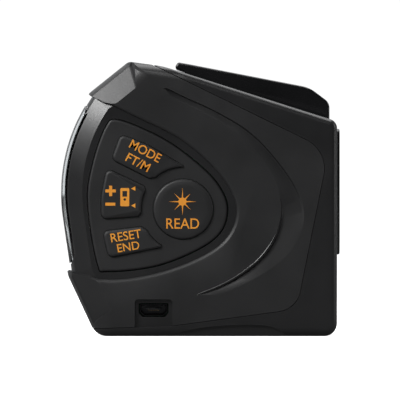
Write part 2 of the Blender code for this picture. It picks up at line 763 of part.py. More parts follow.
def make_keypad():
    outlines = {name: side_key_outline(name) for name in SIDE_KEYS}
    outlines["key_measure"] = circle(MEASURE_KEY, MEASURE_KEY_RADIUS)
    nubs = {name: sheet(*spot) for name, spot in NUB_POINTS.items()}
    nubs["key_measure"] = MEASURE_KEY
    holes = [grown(outline, FIT) for outline in outlines.values()]
    mat = prism("keypad_mat", [MAT_OUTLINE, *holes], MAT_FACE_Y, MAT_FACE_Y + MAT_THICKNESS, "rubber")
    inside = grown(MAT_OUTLINE, -MAT_WALL)
    join(mat, prism("mat_wall", [MAT_OUTLINE, inside], MAT_FACE_Y + 1.0, FLANGE_Y + 0.5))
    lip = prism("mat_lip", [grown(MAT_OUTLINE, FLANGE_LIP), inside], FLANGE_Y, FLANGE_Y + FLANGE_THICKNESS)
    join(mat, frozen(keep(lip, envelope("mat_room", CAVITY_INSET + FIT)), "mat_lip_trimmed"))
    for i, (name, outline) in enumerate(outlines.items(), 1):
        make_key(name, outline, nubs[name])
        x, z = nubs[name]
        profile = [(0, -DOME_Y), (DOME_RADIUS * 0.6, -DOME_Y), (DOME_RADIUS, -DOME_Y - DOME_HEIGHT)]
        profile += [(0, -DOME_Y - DOME_HEIGHT)]
        turned(f"dome_switch_{i}", profile, "steel", centre=(x, z), segments=12)


def make_electronics():
    corners = sheet_corners(
        [(-28.6, 24, 2), (-20.4, 5.2, 2), (-5.5, 5.2, 2), (8, 16, 3), (11, 36, 6), (-3, 56, 3), (-24, 61, 3)]
    )
    prism("main_board", rounded(corners, steps=3), BOARD_Y, BOARD_BACK_Y, "board_green")
    x, z = sheet(-6.0, 36.0)
    box("processor_chip", (x - 4, BOARD_BACK_Y + FIT, z - 4), (x + 4, BOARD_BACK_Y + FIT + 1.0, z + 4), "hard_black")
    x, z = SOCKET_POINT
    back = BOARD_Y - FIT
    half, tall = SOCKET_WIDTH / 2, SOCKET_HEIGHT / 2
    mouth = -(HALF - SHELL_INSET) + 0.6
    tongue_back = back - 0.6
    socket = box("usb_socket", (x - half, mouth, z - tall), (x + half, back, z + tall), "steel")
    cut(
        socket,
        box(
            "socket_bore",
            (x - half + SOCKET_WALL, mouth - 2, z - tall + SOCKET_WALL),
            (x + half - SOCKET_WALL, tongue_back, z + tall - SOCKET_WALL),
        ),
    )
    join(socket, box("socket_tongue", (x - half + 2, mouth + 1, z - 0.1), (x + half - 2, back - 0.2, z + 0.7)))
    low, high = sheet(0, 55.2)[1], sheet(0, 63.8)[1]
    box("battery", (sheet(-18.5, 0)[0], -8.5, low), (sheet(-2.6, 0)[0], 15.5, high), "pouch", bevel=1.2)
    x = sheet(-9, 0)[0]
    depth = BOARD_BACK_Y + FIT
    lead = [(x, -8.9, high - 3), (x, -9.9, high - 3.3), (x, -10.8, high - 5), (x, -11.2, high - 8)]
    lead += [(x, depth + 1.2, high - 10.4), (x, depth + 0.1, high - 11)]
    tube("battery_lead", lead, 0.6, "rubber")


def make_optics():
    """Front panel with its two clear apertures, and the chassis with lenses, laser and detector behind it."""
    receiver_z = PANEL_HIGH - 5.0 - RECEIVER_RADIUS - 2.0
    emitter_z = receiver_z - RECEIVER_RADIUS - APERTURE_GAP - EMITTER_RADIUS
    back = FRONT + PANEL_PROUD - PANEL_THICKNESS
    corners = [
        (-PANEL_HALF, PANEL_LOW, 2.0),
        (-PANEL_HALF, PANEL_HIGH, 2.0),
        (PANEL_HALF, PANEL_HIGH, 2.0),
        (PANEL_HALF, PANEL_LOW, 2.0),
    ]
    apertures = {"receiver": (receiver_z, RECEIVER_RADIUS), "emitter": (emitter_z, EMITTER_RADIUS)}
    holes = [circle((0, z), radius, 24) for z, radius in apertures.values()]
    prism("front_panel", [rounded(corners, steps=3), *holes], back, back + PANEL_THICKNESS, "gloss_black", "X")
    front = FRONT_WALL + 0.8
    chassis_back = front - CHASSIS_LENGTH
    chassis = box(
        "optics_chassis",
        (chassis_back, -CHASSIS_HALF, emitter_z - EMITTER_RADIUS - CHASSIS_MARGIN),
        (FRONT_WALL - FIT, CHASSIS_HALF, receiver_z + RECEIVER_RADIUS + CHASSIS_MARGIN - 1.4),
        "hard_black",
    )
    for name, (z, radius) in apertures.items():
        spot = (0, z)
        disc(f"{name}_window", radius - FIT, back, back + 1.0, "clear", "X", spot, 24)
        bore = disc(f"{name}_bore", radius - 1.0, chassis_back - 5, FRONT + 5, None, "X", spot, 24)
        cut(chassis, bore)
    lens_edge = FRONT_WALL - FIT - 1.2
    reach = RECEIVER_RADIUS - 1.0 - FIT
    dome = [(reach * math.sin(a), lens_edge - 0.8 + 3.2 * math.cos(a)) for a in (0, 0.4, 0.8, 1.2, math.pi / 2)]
    turned("receiver_lens", [*dome, (reach, lens_edge - 2.2), (0, lens_edge - 2.2)], "clear", "X", (0, receiver_z))
    barrel = EMITTER_RADIUS - 1.0 - FIT
    spot = (0, emitter_z)
    front = FRONT_WALL - 1.0
    profile = [(barrel, front), (barrel, front - 9), (barrel - 0.7, front - 9), (barrel - 0.7, front)]
    turned("collimator_barrel", profile, "brass", "X", spot, 20)
    disc("collimator_lens", barrel - 0.7 - FIT, front - 2.4, front - 0.8, "clear", "X", spot, 20)
    disc("laser_diode", barrel, front - 9 - FIT - 3.5, front - 9 - FIT, "brass", "X", spot, 20)
    disc("photodetector", 2.6, chassis_back + 0.4, chassis_back + 3.4, "steel", "X", (0, receiver_z), 20)
    board_back = chassis_back - FIT - 1.2
    low = emitter_z - EMITTER_RADIUS - 1
    box("detector_board", (board_back, -9.5, low), (board_back + 1.2, 9.5, receiver_z + 5.5), "board_green")


def blade_height(x, y):
    """Height of the blade's underside: flat where it leaves the coil, a trough towards the mouth."""
    along = min(max((x - REEL_X - 3) / 16, 0), 1)
    trough = BLADE_TROUGH * along * along * (3 - 2 * along)
    return BLADE_Z + trough * (y / (BLADE_WIDTH / 2)) ** 2


def make_tape():
    centre = (REEL_X, REEL_Z)
    hub = COIL_INNER - FIT
    inside = REEL_HALF - FLANGE_WALL
    profile = [
        (FLANGE_RADIUS, REEL_HALF),
        (FLANGE_RADIUS, inside),
        (hub, inside),
        (hub, -inside),
        (FLANGE_RADIUS, -inside),
        (FLANGE_RADIUS, -REEL_HALF),
        (hub - HUB_WALL, -REEL_HALF),
        (hub - HUB_WALL, REEL_HALF),
    ]
    turned("tape_drum", profile, "nylon", centre=centre, segments=48)
    half = BLADE_WIDTH / 2
    ring = [(COIL_OUTER, half), (COIL_OUTER, -half), (COIL_INNER, -half), (COIL_INNER, half)]
    turned("tape_coil", ring, "blade_yellow", centre=centre, segments=48)
    disc("drum_arbor", ARBOR_RADIUS, -REEL_HALF - 0.5, INNER_HALF - FIT, "steel", centre=centre, segments=24)
    start, end = ARBOR_RADIUS + 0.8, hub - HUB_WALL - 0.8
    steps = 18 * SPRING_TURNS
    spiral = []
    for sign in (1, -1):
        for k in range(steps + 1):
            share = (k if sign > 0 else steps - k) / steps
            angle = math.tau * SPRING_TURNS * share
            radius = start + (end - start) * share + sign * SPRING_BAND / 2
            spiral.append((REEL_X + radius * math.cos(angle), REEL_Z + radius * math.sin(angle)))
    prism("power_spring", spiral, -SPRING_WIDTH / 2, SPRING_WIDTH / 2, "steel")
    make_blade()
    make_hook()


def make_blade():
    """Straight stretch of the steel tape, from the coil to the hook, with its two rivet holes."""
    end = FRONT - HOOK_THICKNESS - HOOK_FLOAT
    strip = bmesh.new()
    bmesh.ops.create_grid(strip, x_segments=14, y_segments=8, size=0.5)
    for vertex in strip.verts:
        x = REEL_X + (end - REEL_X) * (vertex.co.x + 0.5)
        y = BLADE_WIDTH * vertex.co.y
        vertex.co = Vector((x, y, blade_height(x, y))) * MM
    blade = mesh_object("tape_blade_sheet", strip)
    solidify = blade.modifiers.new("thickness", "SOLIDIFY")
    solidify.thickness = BLADE_THICKNESS * MM
    solidify.offset = 1 if blade.data.polygons[0].normal.z > 0 else -1
    blade = frozen(blade, "tape_blade", "blade_yellow")
    for i, x in enumerate(rivet_places(), 1):
        hole = box(f"rivet_hole_{i}", (x - 1.2, -1.2, 0), (x + 1.2, 1.2, 20))
        cut(blade, hole)


def rivet_places():
    first = FRONT - HOOK_THICKNESS - HOOK_FLOAT - 2.6
    return first, first - RIVET_SPACING


def make_hook():
    """End hook on its two rivets. Its slots let it float by its own thickness, so that it reads true both ways."""
    front = FRONT - FIT
    half = HOOK_WIDTH / 2
    top_of_blade = BLADE_Z + BLADE_THICKNESS
    tab_half = TAB_WIDTH / 2
    tab_low = top_of_blade + BLADE_TROUGH * (TAB_WIDTH / BLADE_WIDTH) ** 2 + FIT
    corners = [
        (-half, HOOK_BOTTOM, 1.5), (-half, HOOK_TOP, 1.0), (half, HOOK_TOP, 1.0), (half, HOOK_BOTTOM, 1.5),
    ]
    hook = prism("end_hook", rounded(corners, steps=3), front - HOOK_THICKNESS, front, "steel", "X")
    tab = box(
        "hook_tab",
        (front - HOOK_THICKNESS - TAB_LENGTH, -tab_half, tab_low),
        (front - 0.2, tab_half, tab_low + HOOK_THICKNESS),
    )
    join(hook, tab)
    for i, x in enumerate(rivet_places(), 1):
        reach = RIVET_RADIUS + FIT
        cut(hook, box(f"hook_slot_{i}", (x - reach - HOOK_FLOAT, -reach, 0), (x + reach, reach, 20)))
        head = RIVET_RADIUS + 0.9
        top = tab_low + HOOK_THICKNESS + FIT
        bottom = BLADE_Z - FIT
        rivet = box(f"hook_rivet_{i}", (x - 0.7, -0.7, bottom - 0.5), (x + 0.7, 0.7, top + 0.5), "steel")
        for name, low in (("upper", top), ("lower", bottom - 0.6)):
            join(rivet, box(f"rivet_{name}_{i}", (x - head, -head, low), (x + head, head, low + 0.6)))
    low, high = HOOK_BOTTOM + 0.8, MOUTH_LOW - 1.2
    back = FRONT - POCKET_DEPTH + FIT
    box("hook_bumper", (back, -half + 1, low), (back + 0.8, half - 1, high), "rubber")


def make_lock():
    """Thumb lever that swings a brake pad against the reel's rim, on its cross pin."""
    lip_front = (SLOT_BACK + 0.5, top_of_case(SLOT_BACK + 0.5) + 0.45)
    tip_x = sheet(36.4, 0)[0]
    corners = sheet_corners(LEVER_CORNERS) + [
        (tip_x, top_of_case(tip_x) - LEVER_SUNK, 0.5),
        (SLOT_BACK + 0.5, top_of_case(SLOT_BACK + 0.5) - LEVER_SUNK, 0.3),
        (*lip_front, 0.2),
    ]
    lever = prism("lock_lever_blank", rounded(corners, steps=4), -LEVER_HALF, LEVER_HALF)
    bevel = lever.modifiers.new("edges", "BEVEL")
    bevel.width = LEVER_ROUND * MM
    bevel.segments = 2
    bevel.limit_method = "ANGLE"
    bevel.angle_limit = math.radians(60)
    lever = frozen(lever, "lock_lever", "gloss_black")
    join(lever, disc("lever_lug", LUG_RADIUS, -LEVER_HALF + 0.5, LEVER_HALF - 0.5, centre=(PIN_X, PIN_Z)))
    rim = FLANGE_RADIUS + PAD_APPROACH
    plate_low = rim + PAD_THICKNESS + FIT
    foot = polar(plate_low + 1.0, PAD_ANGLE)
    arm_top = (PIN_X + 5.5, top_of_case(PIN_X + 5.5) - 0.8)
    arm = [
        (arm_top[0] - 2.4, arm_top[1] + 0.9),
        (arm_top[0] + 2.4, arm_top[1] - 0.6),
        (foot[0] + 1.4, foot[1] + 0.4),
        (foot[0] - 1.2, foot[1] - 0.2),
    ]
    join(lever, prism("brake_arm", arm, -4.0, 4.0))
    join(lever, radial_block("brake_plate", plate_low, plate_low + 1.8, 3.2, REEL_HALF - 0.5))
    cut(lever, disc("lever_bore", PIN_RADIUS + FIT, -FAR, FAR, centre=(PIN_X, PIN_Z)))
    radial_block("brake_pad", rim, rim + PAD_THICKNESS, 2.6, REEL_HALF - 0.2, "rubber")
    reach = LEVER_HALF + FIT + PIN_REACH - 0.6 - FIT
    disc("lever_pin", PIN_RADIUS, -reach, reach, "steel", centre=(PIN_X, PIN_Z))


def radial_block(name, low, high, tangent_half, width_half, finish=None):
    """A block that stands on the reel's radius at the brake pad's angle, from low to high."""
    return box(
        name,
        (REEL_X + low, -width_half, REEL_Z - tangent_half),
        (REEL_X + high, width_half, REEL_Z + tangent_half),
        finish,
        turn=-PAD_ANGLE,
        pivot=(REEL_X, REEL_Z),
    )


def make_belt_clip():
    """Sprung belt clip on the far side, with its screw."""
    x, z = CLIP_SCREW
    seat = HALF + FIT + CLIP_THICKNESS / 2
    out = seat + CLIP_GAP
    bottom = sheet(0, 14.0)[1]
    path = [
        (seat, z + 6.0), (seat, z - 6.0), (seat + 0.9, z - 8.2), (out - 0.9, z - 12.5), (out, z - 15.0),
        (out, bottom + 8.0), (out - 0.9, bottom + 5.5), (out - 0.9, bottom + 4.0), (out + 1.2, bottom),
    ]
    clip = ribbon("belt_clip", path, x - CLIP_WIDTH / 2, x + CLIP_WIDTH / 2, CLIP_THICKNESS, "steel", "X")
    cut(clip, disc("clip_hole", 1.6 + FIT, 0, FAR, centre=CLIP_SCREW))
    head = seat + CLIP_THICKNESS / 2 + 0.1
    tip = INNER_HALF - 1.5
    profile = [(0, -head - 1.2), (2.4, -head - 1.2), (3.0, -head), (1.2, -head), (1.2, -tip), (0, -tip)]
    turned("clip_screw", [(r, h) for r, h in reversed(profile)], "steel", centre=CLIP_SCREW, segments=16)


def main():
    make_case()
    make_display()
    make_keypad()
    make_electronics()
    make_optics()
    make_tape()
    make_lock()
    make_belt_clip()
    for obj in PARTS.objects:
        if obj.type == "MESH":
            obj.data.shade_smooth()
            obj.data.set_sharp_from_angle(angle=math.radians(35))


clear_scene()
PARTS = new_collection("laser_tape_measure")
CUTTERS = new_collection("cutters")
main()
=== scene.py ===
"""Visible model of a laser distance meter built into a short steel tape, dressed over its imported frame."""

import logging
import math
from collections.abc import Callable, Iterable, Sequence
from dataclasses import dataclass, field
from enum import Enum

import bmesh
import bpy
from mathutils import Matrix, Vector


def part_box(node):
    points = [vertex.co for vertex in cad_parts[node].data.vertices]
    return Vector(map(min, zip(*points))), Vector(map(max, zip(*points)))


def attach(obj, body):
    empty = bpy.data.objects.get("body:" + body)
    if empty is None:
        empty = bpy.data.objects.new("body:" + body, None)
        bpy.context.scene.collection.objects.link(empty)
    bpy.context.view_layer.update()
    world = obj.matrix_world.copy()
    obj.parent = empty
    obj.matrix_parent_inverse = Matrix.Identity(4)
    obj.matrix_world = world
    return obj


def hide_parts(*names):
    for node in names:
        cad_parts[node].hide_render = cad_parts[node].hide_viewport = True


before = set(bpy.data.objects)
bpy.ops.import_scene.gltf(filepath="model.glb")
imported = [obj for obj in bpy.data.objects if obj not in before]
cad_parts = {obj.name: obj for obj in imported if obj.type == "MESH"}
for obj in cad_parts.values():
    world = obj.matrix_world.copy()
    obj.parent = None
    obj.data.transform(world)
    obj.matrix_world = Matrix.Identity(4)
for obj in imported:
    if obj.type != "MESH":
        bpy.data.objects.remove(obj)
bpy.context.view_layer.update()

MM = 0.001
FAR = 60.0
CAPITAL = 0.7
LOG = logging.getLogger("laser_tape")

Point = tuple[float, float]
Corner = tuple[float, float, float]
Spot = tuple[float, float, float]


class Axis(Enum):
    """Directions that a flat outline can be given its thickness along."""

    X = "x"
    Y = "y"
    Z = "z"

    def spot(self, u: float, v: float, along: float) -> Vector:
        """Place of outline point (u, v) at a distance along the axis, in millimetres."""
        if self is Axis.Y:
            return Vector((u, along, v))
        return Vector((along, u, v)) if self is Axis.X else Vector((u, v, along))


class Side(Enum):
    """The two halves of the case."""

    RIGHT = -1
    LEFT = 1


class Operation(Enum):
    """What a Boolean does with the second solid."""

    CUT = "DIFFERENCE"
    JOIN = "UNION"
    KEEP = "INTERSECT"


class Pattern(Enum):
    """Procedural patterns that a finish can carry."""

    GRAIN = "grain"
    BRUSHED = "brushed"
    BOARD = "board"


# ---------------------------------------------------------------- outlines


def rounded(corners: Sequence[Corner], steps: int | Sequence[int] = 8) -> list[Point]:
    """Fillets the corners of a polygon.

    Args:
        corners: Corners as (u, v, radius).
        steps: Pieces of each arc, one number for all or one for each.

    Returns:
        The outline's points.
    """
    outline: list[Point] = []
    for i, (u, v, radius) in enumerate(corners):
        here = Vector((u, v))
        before = (Vector(corners[i - 1][:2]) - here).normalized()
        after = (Vector(corners[(i + 1) % len(corners)][:2]) - here).normalized()
        half = before.angle(after) / 2
        if radius <= 0 or half > math.radians(89.5):
            outline.append((u, v))
            continue
        centre = here + (before + after).normalized() * radius / math.sin(half)
        start = here + before * radius / math.tan(half) - centre
        turn = start.angle_signed(here + after * radius / math.tan(half) - centre)
        pieces = steps if isinstance(steps, int) else steps[i]
        for step in range(pieces + 1):
            outline.append(tuple(centre + Matrix.Rotation(-turn * step / pieces, 2) @ start))
    return outline


def inset_corners(corners: Sequence[Corner], distances: Sequence[float]) -> list[Corner]:
    """Moves each side of a clockwise polygon inwards by its own distance.

    Args:
        corners: Corners as (u, v, radius).
        distances: One distance for the side that starts at each corner.

    Returns:
        The moved corners, with their radii reduced to match.
    """
    points = [Vector(corner[:2]) for corner in corners]
    count = len(points)
    sides = []
    for i, distance in enumerate(distances):
        along = (points[(i + 1) % count] - points[i]).normalized()
        sides.append((points[i] + Vector((along.y, -along.x)) * distance, along))
    moved = []
    for i in range(count):
        (p, d), (q, e) = sides[i - 1], sides[i]
        radius = max(corners[i][2] - (distances[i - 1] + distances[i]) / 2, 0.4)
        moved.append((*(p + d * ((q - p).cross(e) / d.cross(e))), radius))
    return moved


def smooth(points: Sequence[Point], closed: bool = True, steps: int = 8) -> list[Point]:
    """Runs a Catmull-Rom curve through points.

    Args:
        points: Points of the curve.
        closed: Whether the last point joins the first.
        steps: Pieces between two points.

    Returns:
        The curve's points.
    """
    count = len(points)
    spots = [Vector(point) for point in points]
    curve: list[Point] = []
    for i in range(count if closed else count - 1):
        picks = (i - 1, i, i + 1, i + 2)
        if closed:
            a, b, c, d = (spots[k % count] for k in picks)
        else:
            a, b, c, d = (spots[min(max(k, 0), count - 1)] for k in picks)
        for step in range(steps):
            t = step / steps
            bend = (2 * a - 5 * b + 4 * c - d) * t * t + (3 * b - a - 3 * c + d) * t**3
            curve.append(tuple(b + ((c - a) * t + bend) / 2))
    if not closed:
        curve.append(tuple(spots[-1]))
    return curve


def grown(outline: Sequence[Point], distance: float) -> list[Point]:
    """Moves a closed outline outwards.

    Args:
        outline: Points, in either order.
        distance: How far, in millimetres; negative moves it inwards.

    Returns:
        The moved points, as many as before.
    """
    points = [Vector(point) for point in outline]
    count = len(points)
    side = 1 if sum(points[i - 1].cross(points[i]) for i in range(count)) > 0 else -1
    moved = []
    for i in range(count):
        before = (points[i] - points[i - 1]).normalized()
        after = (points[(i + 1) % count] - points[i]).normalized()
        along = (before + after).normalized()
        reach = distance * side / max(along.dot(after), 0.6)
        moved.append(tuple(points[i] + Vector((along.y, -along.x)) * reach))
    return moved


def shrunk(outline: Sequence[Point], distance: float) -> list[Point]:
    """Moves a closed outline inwards; where it would fold over itself, its points gather at the fold.

    Args:
        outline: Points, in either order.
        distance: How far, in millimetres.

    Returns:
        The moved points, as many as before.
    """
    moved = [Vector(point) for point in grown(outline, -distance)]
    count = len(moved)
    spots = [Vector(point) for point in outline]

    def clearance(point: Vector) -> float:
        """Distance from a point to the outline.

        Args:
            point: The point.

        Returns:
            The distance.
        """
        nearest = FAR
        for i in range(count):
            side = spots[i] - spots[i - 1]
            share = (point - spots[i - 1]).dot(side) / max(side.length_squared, 1e-12)
            nearest = min(nearest, (point - spots[i - 1] - side * min(max(share, 0), 1)).length)
        return nearest

    good = [clearance(point) > distance * 0.985 for point in moved]
    result = list(moved)
    for i in range(count):
        if good[i]:
            continue
        before, after = i, i
        while not good[before % count]:
            before -= 1
        while not good[after % count]:
            after += 1
        a, b = moved[before % count], moved[after % count]
        ahead = spots[(before + 1) % count] - spots[before % count]
        back = spots[after % count] - spots[(after - 1) % count]
        turn = ahead.cross(back)
        meet = a + ahead * ((b - a).cross(back) / turn) if abs(turn) > 1e-6 else (a + b) / 2
        near = min((meet - a).length, (meet - b).length) < FAR / 4 and clearance(meet) > distance * 0.9
        result[i] = meet if near and clearance(meet) < distance * 3 else min(
            (a, b), key=lambda end: (end - moved[i]).length
        )
    return [tuple(point) for point in result]


def circle(centre: Point, radius: float, count: int = 48) -> list[Point]:
    """Points of a circle."""
    angles = (math.tau * k / count for k in range(count))
    return [(centre[0] + radius * math.cos(a), centre[1] + radius * math.sin(a)) for a in angles]


def turned_points(points: Iterable[Point], angle: float, centre: Point) -> list[Point]:
    """Turns points about the origin and then moves them to a centre.

    Args:
        points: Points round the origin.
        angle: Turn in radians, anticlockwise.
        centre: Where the origin goes.

    Returns:
        The placed points.
    """
    c, s = math.cos(angle), math.sin(angle)
    return [(centre[0] + u * c - v * s, centre[1] + u * s + v * c) for u, v in points]


# ---------------------------------------------------------------- meshes


def mesh_object(name: str, built: bmesh.types.BMesh, turn: bool = True) -> bpy.types.Object:
    """Makes an object of a bmesh and frees the bmesh.

    Args:
        name: Name of the object.
        built: The shape.
        turn: Whether its faces are first turned outwards; a solid with a cavity keeps them as they are.

    Returns:
        The object.
    """
    if turn:
        bmesh.ops.recalc_face_normals(built, faces=built.faces[:])
    mesh = bpy.data.meshes.new(name)
    built.to_mesh(mesh)
    built.free()
    obj = bpy.data.objects.new(name, mesh)
    bpy.context.scene.collection.objects.link(obj)
    return obj


def plain(obj: bpy.types.Object, name: str | None = None) -> bpy.types.Object:
    """Turns an object with modifiers, or a curve or text, into a plain mesh with its place in the mesh.

    Args:
        obj: The object, which is removed.
        name: Name of the result; the object's own if left out.

    Returns:
        The new object, at the origin.
    """
    name = name or obj.name
    bpy.context.view_layer.update()
    graph = bpy.context.evaluated_depsgraph_get()
    mesh = bpy.data.meshes.new_from_object(obj.evaluated_get(graph))
    mesh.transform(obj.matrix_world)
    welded = bmesh.new()
    welded.from_mesh(mesh)
    bmesh.ops.remove_doubles(welded, verts=welded.verts[:], dist=1e-7)
    bpy.data.objects.remove(obj, do_unlink=True)
    result = mesh_object(name, welded, turn=False)
    result.name = name
    return result


def combine(obj: bpy.types.Object, operation: Operation, *others: bpy.types.Object) -> bpy.types.Object:
    """Cuts, joins or keeps with other solids, which are removed.

    Args:
        obj: The solid that is worked on.
        operation: What is done with each of the others.
        *others: The other solids, in order.

    Returns:
        A plain object with the first one's name.
    """
    name = obj.name
    for other in others:
        modifier = obj.modifiers.new(operation.value.lower(), "BOOLEAN")
        modifier.operation = operation.value
        modifier.object = other
        modifier.solver = "EXACT"
    result = plain(obj, name)
    for other in others:
        bpy.data.objects.remove(other, do_unlink=True)
    return result


def loft(name: str, rings: Sequence[Sequence[Vector]]) -> bpy.types.Object:
    """Skins a closed solid over rings of equal length, with flat ends.

    Args:
        name: Name of the object.
        rings: Rings of places in millimetres.

    Returns:
        The solid.
    """
    built = bmesh.new()
    loops = [[built.verts.new(spot * MM) for spot in ring] for ring in rings]
    for first, second in zip(loops, loops[1:]):
        for i in range(len(first)):
            built.faces.new((first[i - 1], first[i], second[i]))
            built.faces.new((first[i - 1], second[i], second[i - 1]))
    built.faces.new(loops[0])
    built.faces.new(loops[-1])
    bmesh.ops.remove_doubles(built, verts=built.verts[:], dist=0.002 * MM)
    return mesh_object(name, built)


def prism(
    name: str, outline: Sequence[Point], low: float, high: float, axis: Axis = Axis.Y
) -> bpy.types.Object:
    """Gives an outline thickness from low to high along an axis."""
    return loft(name, [[axis.spot(u, v, along) for u, v in outline] for along in (low, high)])


def tapered(
    name: str, stages: Sequence[tuple[float, Sequence[Point]]], axis: Axis = Axis.Y
) -> bpy.types.Object:
    """Lofts outlines of equal length that stand at given distances along an axis."""
    return loft(name, [[axis.spot(u, v, along) for u, v in outline] for along, outline in stages])


def pillow(
    name: str, outline: Sequence[Point], face: float, back: float, edge: float, crown: float = 0.0
) -> bpy.types.Object:
    """A plate whose edge is rounded towards its face.

    Args:
        name: Name of the object.
        outline: Outline seen along Y.
        face: Y of the face.
        back: Y of the back.
        edge: Radius of the face's edge.
        crown: How far the middle of the face stands proud of its rim.

    Returns:
        The solid.
    """
    out = 1 if face > back else -1
    stages: list[tuple[float, Sequence[Point]]] = [(back, outline)]
    for step in range(7):
        angle = math.pi / 2 * step / 6
        y = face - out * (crown + edge * (1 - math.sin(angle)))
        stages.append((y, shrunk(outline, edge * (1 - math.cos(angle))) if step else outline))
    for share in (0.35, 0.7, 1.0, 1.1) if crown else (0.15,):
        y = face - out * crown * max(1 - share, 0) ** 2
        stages.append((y, shrunk(outline, edge + 1.2 * share)))
    return tapered(name, stages)


def block(name: str, low: Spot, high: Spot, edge: float = 0.0, segments: int = 3) -> bpy.types.Object:
    """A box between two corners with rounded edges.

    Args:
        name: Name of the object.
        low: Lowest corner in millimetres.
        high: Highest corner.
        edge: Radius of the edges.
        segments: Pieces of each edge's rounding.

    Returns:
        The solid.
    """
    built = bmesh.new()
    bmesh.ops.create_cube(built, size=1.0)
    for vertex in built.verts:
        vertex.co = Vector((low[k] + high[k]) / 2 + vertex.co[k] * (high[k] - low[k]) for k in range(3)) * MM
    if edge:
        bmesh.ops.bevel(
            built, geom=built.edges[:], offset=edge * MM, segments=segments, profile=0.5, affect="EDGES"
        )
    return mesh_object(name, built)


def turned(
    name: str, profile: Sequence[Point], axis: Axis = Axis.Y, centre: Point = (0, 0), count: int = 48
) -> bpy.types.Object:
    """Turns a closed profile about an axis.

    Args:
        name: Name of the object.
        profile: Points (radius, distance along the axis); a solid starts and ends at radius 0.
        axis: The axis.
        centre: The axis's place in the plane across it.
        count: Pieces round the axis.

    Returns:
        The turned solid.
    """
    built = bmesh.new()
    rings: list[list[bmesh.types.BMVert]] = []
    for radius, along in profile:
        turns = 1 if radius == 0 else count
        spokes = (math.tau * k / count for k in range(turns))
        places = [(centre[0] + radius * math.cos(a), centre[1] + radius * math.sin(a)) for a in spokes]
        rings.append([built.verts.new(axis.spot(u, v, along) * MM) for u, v in places])
    pairs = list(zip(rings, rings[1:]))
    if profile[0][0] > 0:
        pairs.append((rings[-1], rings[0]))
    for first, second in pairs:
        for k in range(count):
            corners = [first[k % len(first)], first[(k + 1) % len(first)]]
            corners += [second[(k + 1) % len(second)], second[k % len(second)]]
            unique = list(dict.fromkeys(corners))
            if len(unique) > 2:
                built.faces.new(unique)
    return mesh_object(name, built)


def lettering(
    name: str, text: str, size: float, centre: Point, face: float, angle: float = 0.0, width: float = 1.0
) -> bpy.types.Object:
    """Raised print on a face that looks along -Y.

    Args:
        name: Name of the object.
        text: The words.
        size: Height of a capital, in millimetres.
        centre: Middle of the words, as (x, z).
        face: Y of the face that is printed on.
        angle: Turn in degrees, anticlockwise.
        width: How wide the letters are, against the font's own width.

    Returns:
        The print as a mesh.
    """
    font = bpy.data.curves.new(name, "FONT")
    font.body = text
    font.align_x = "CENTER"
    font.align_y = "CENTER"
    font.size = size / CAPITAL * MM
    font.offset = 0.008 * size * MM
    font.extrude = 0.04 * MM
    obj = bpy.data.objects.new(name, font)
    bpy.context.scene.collection.objects.link(obj)
    place = Matrix.Translation(Vector((centre[0], face - 0.02, centre[1])) * MM)
    turn = Matrix.Rotation(-math.radians(angle), 4, "Y") @ Matrix.Rotation(math.pi / 2, 4, "X")
    obj.matrix_world = place @ turn @ Matrix.Diagonal((width, 1, 1, 1))
    return plain(obj)


# ---------------------------------------------------------------- geometry node trees


class NodePiece:
    """A small wrapper that builds one Geometry Nodes tree and runs it to a plain mesh."""

    def __init__(self, name: str) -> None:
        """Starts an empty tree that takes and gives a geometry.

        Args:
            name: Name of the tree.
        """
        self.tree = bpy.data.node_groups.new(name, "GeometryNodeTree")
        self.tree.interface.new_socket("Geometry", in_out="INPUT", socket_type="NodeSocketGeometry")
        self.tree.interface.new_socket("Geometry", in_out="OUTPUT", socket_type="NodeSocketGeometry")
        self.source = self.tree.nodes.new("NodeGroupInput")
        self.sink = self.tree.nodes.new("NodeGroupOutput")
        self.values: dict[str, object] = {}

    def size(self, name: str, kind: str, value: object) -> bpy.types.NodeSocket:
        """Adds a named input.

        Args:
            name: The input's name.
            kind: Its socket type, without the NodeSocket prefix.
            value: The value that it is given.

        Returns:
            The socket to link from.
        """
        item = self.tree.interface.new_socket(name, in_out="INPUT", socket_type="NodeSocket" + kind)
        self.values[item.identifier] = value
        return next(s for s in self.source.outputs if s.identifier == item.identifier)

    def node(
        self, kind: str, links: dict[str | int, object] | None = None, **settings: object
    ) -> bpy.types.Node:
        """Adds a node, with its inputs linked or set and its settings given.

        Args:
            kind: Node type.
            links: Input name or number to a socket or a value.
            **settings: Properties of the node.

        Returns:
            The node.
        """
        made = self.tree.nodes.new(kind)
        for key, value in settings.items():
            setattr(made, key, value)
        for key, value in (links or {}).items():
            if isinstance(value, bpy.types.NodeSocket):
                self.tree.links.new(value, made.inputs[key])
            else:
                made.inputs[key].default_value = value
        return made

    def run(self, geometry: bpy.types.NodeSocket, material: bpy.types.Material, name: str,
            source: bpy.types.Object | None = None) -> bpy.types.Object:
        """Ends the tree in Realize Instances and Set Material and makes its mesh.

        Args:
            geometry: The socket that holds the shape.
            material: The material that it gets.
            name: Name of the result.
            source: Object that the tree works on, which is removed; an empty mesh if left out.

        Returns:
            The result as a plain object.
        """
        real = self.node("GeometryNodeRealizeInstances", {0: geometry})
        dressed = self.node("GeometryNodeSetMaterial", {"Geometry": real.outputs[0], "Material": material})
        self.tree.links.new(dressed.outputs[0], self.sink.inputs[0])
        if source is None:
            source = bpy.data.objects.new(name, bpy.data.meshes.new(name))
            bpy.context.scene.collection.objects.link(source)
        modifier = source.modifiers.new("tree", "NODES")
        modifier.node_group = self.tree
        for identifier, value in self.values.items():
            modifier[identifier] = value
        return plain(source, name)


# ---------------------------------------------------------------- finishes


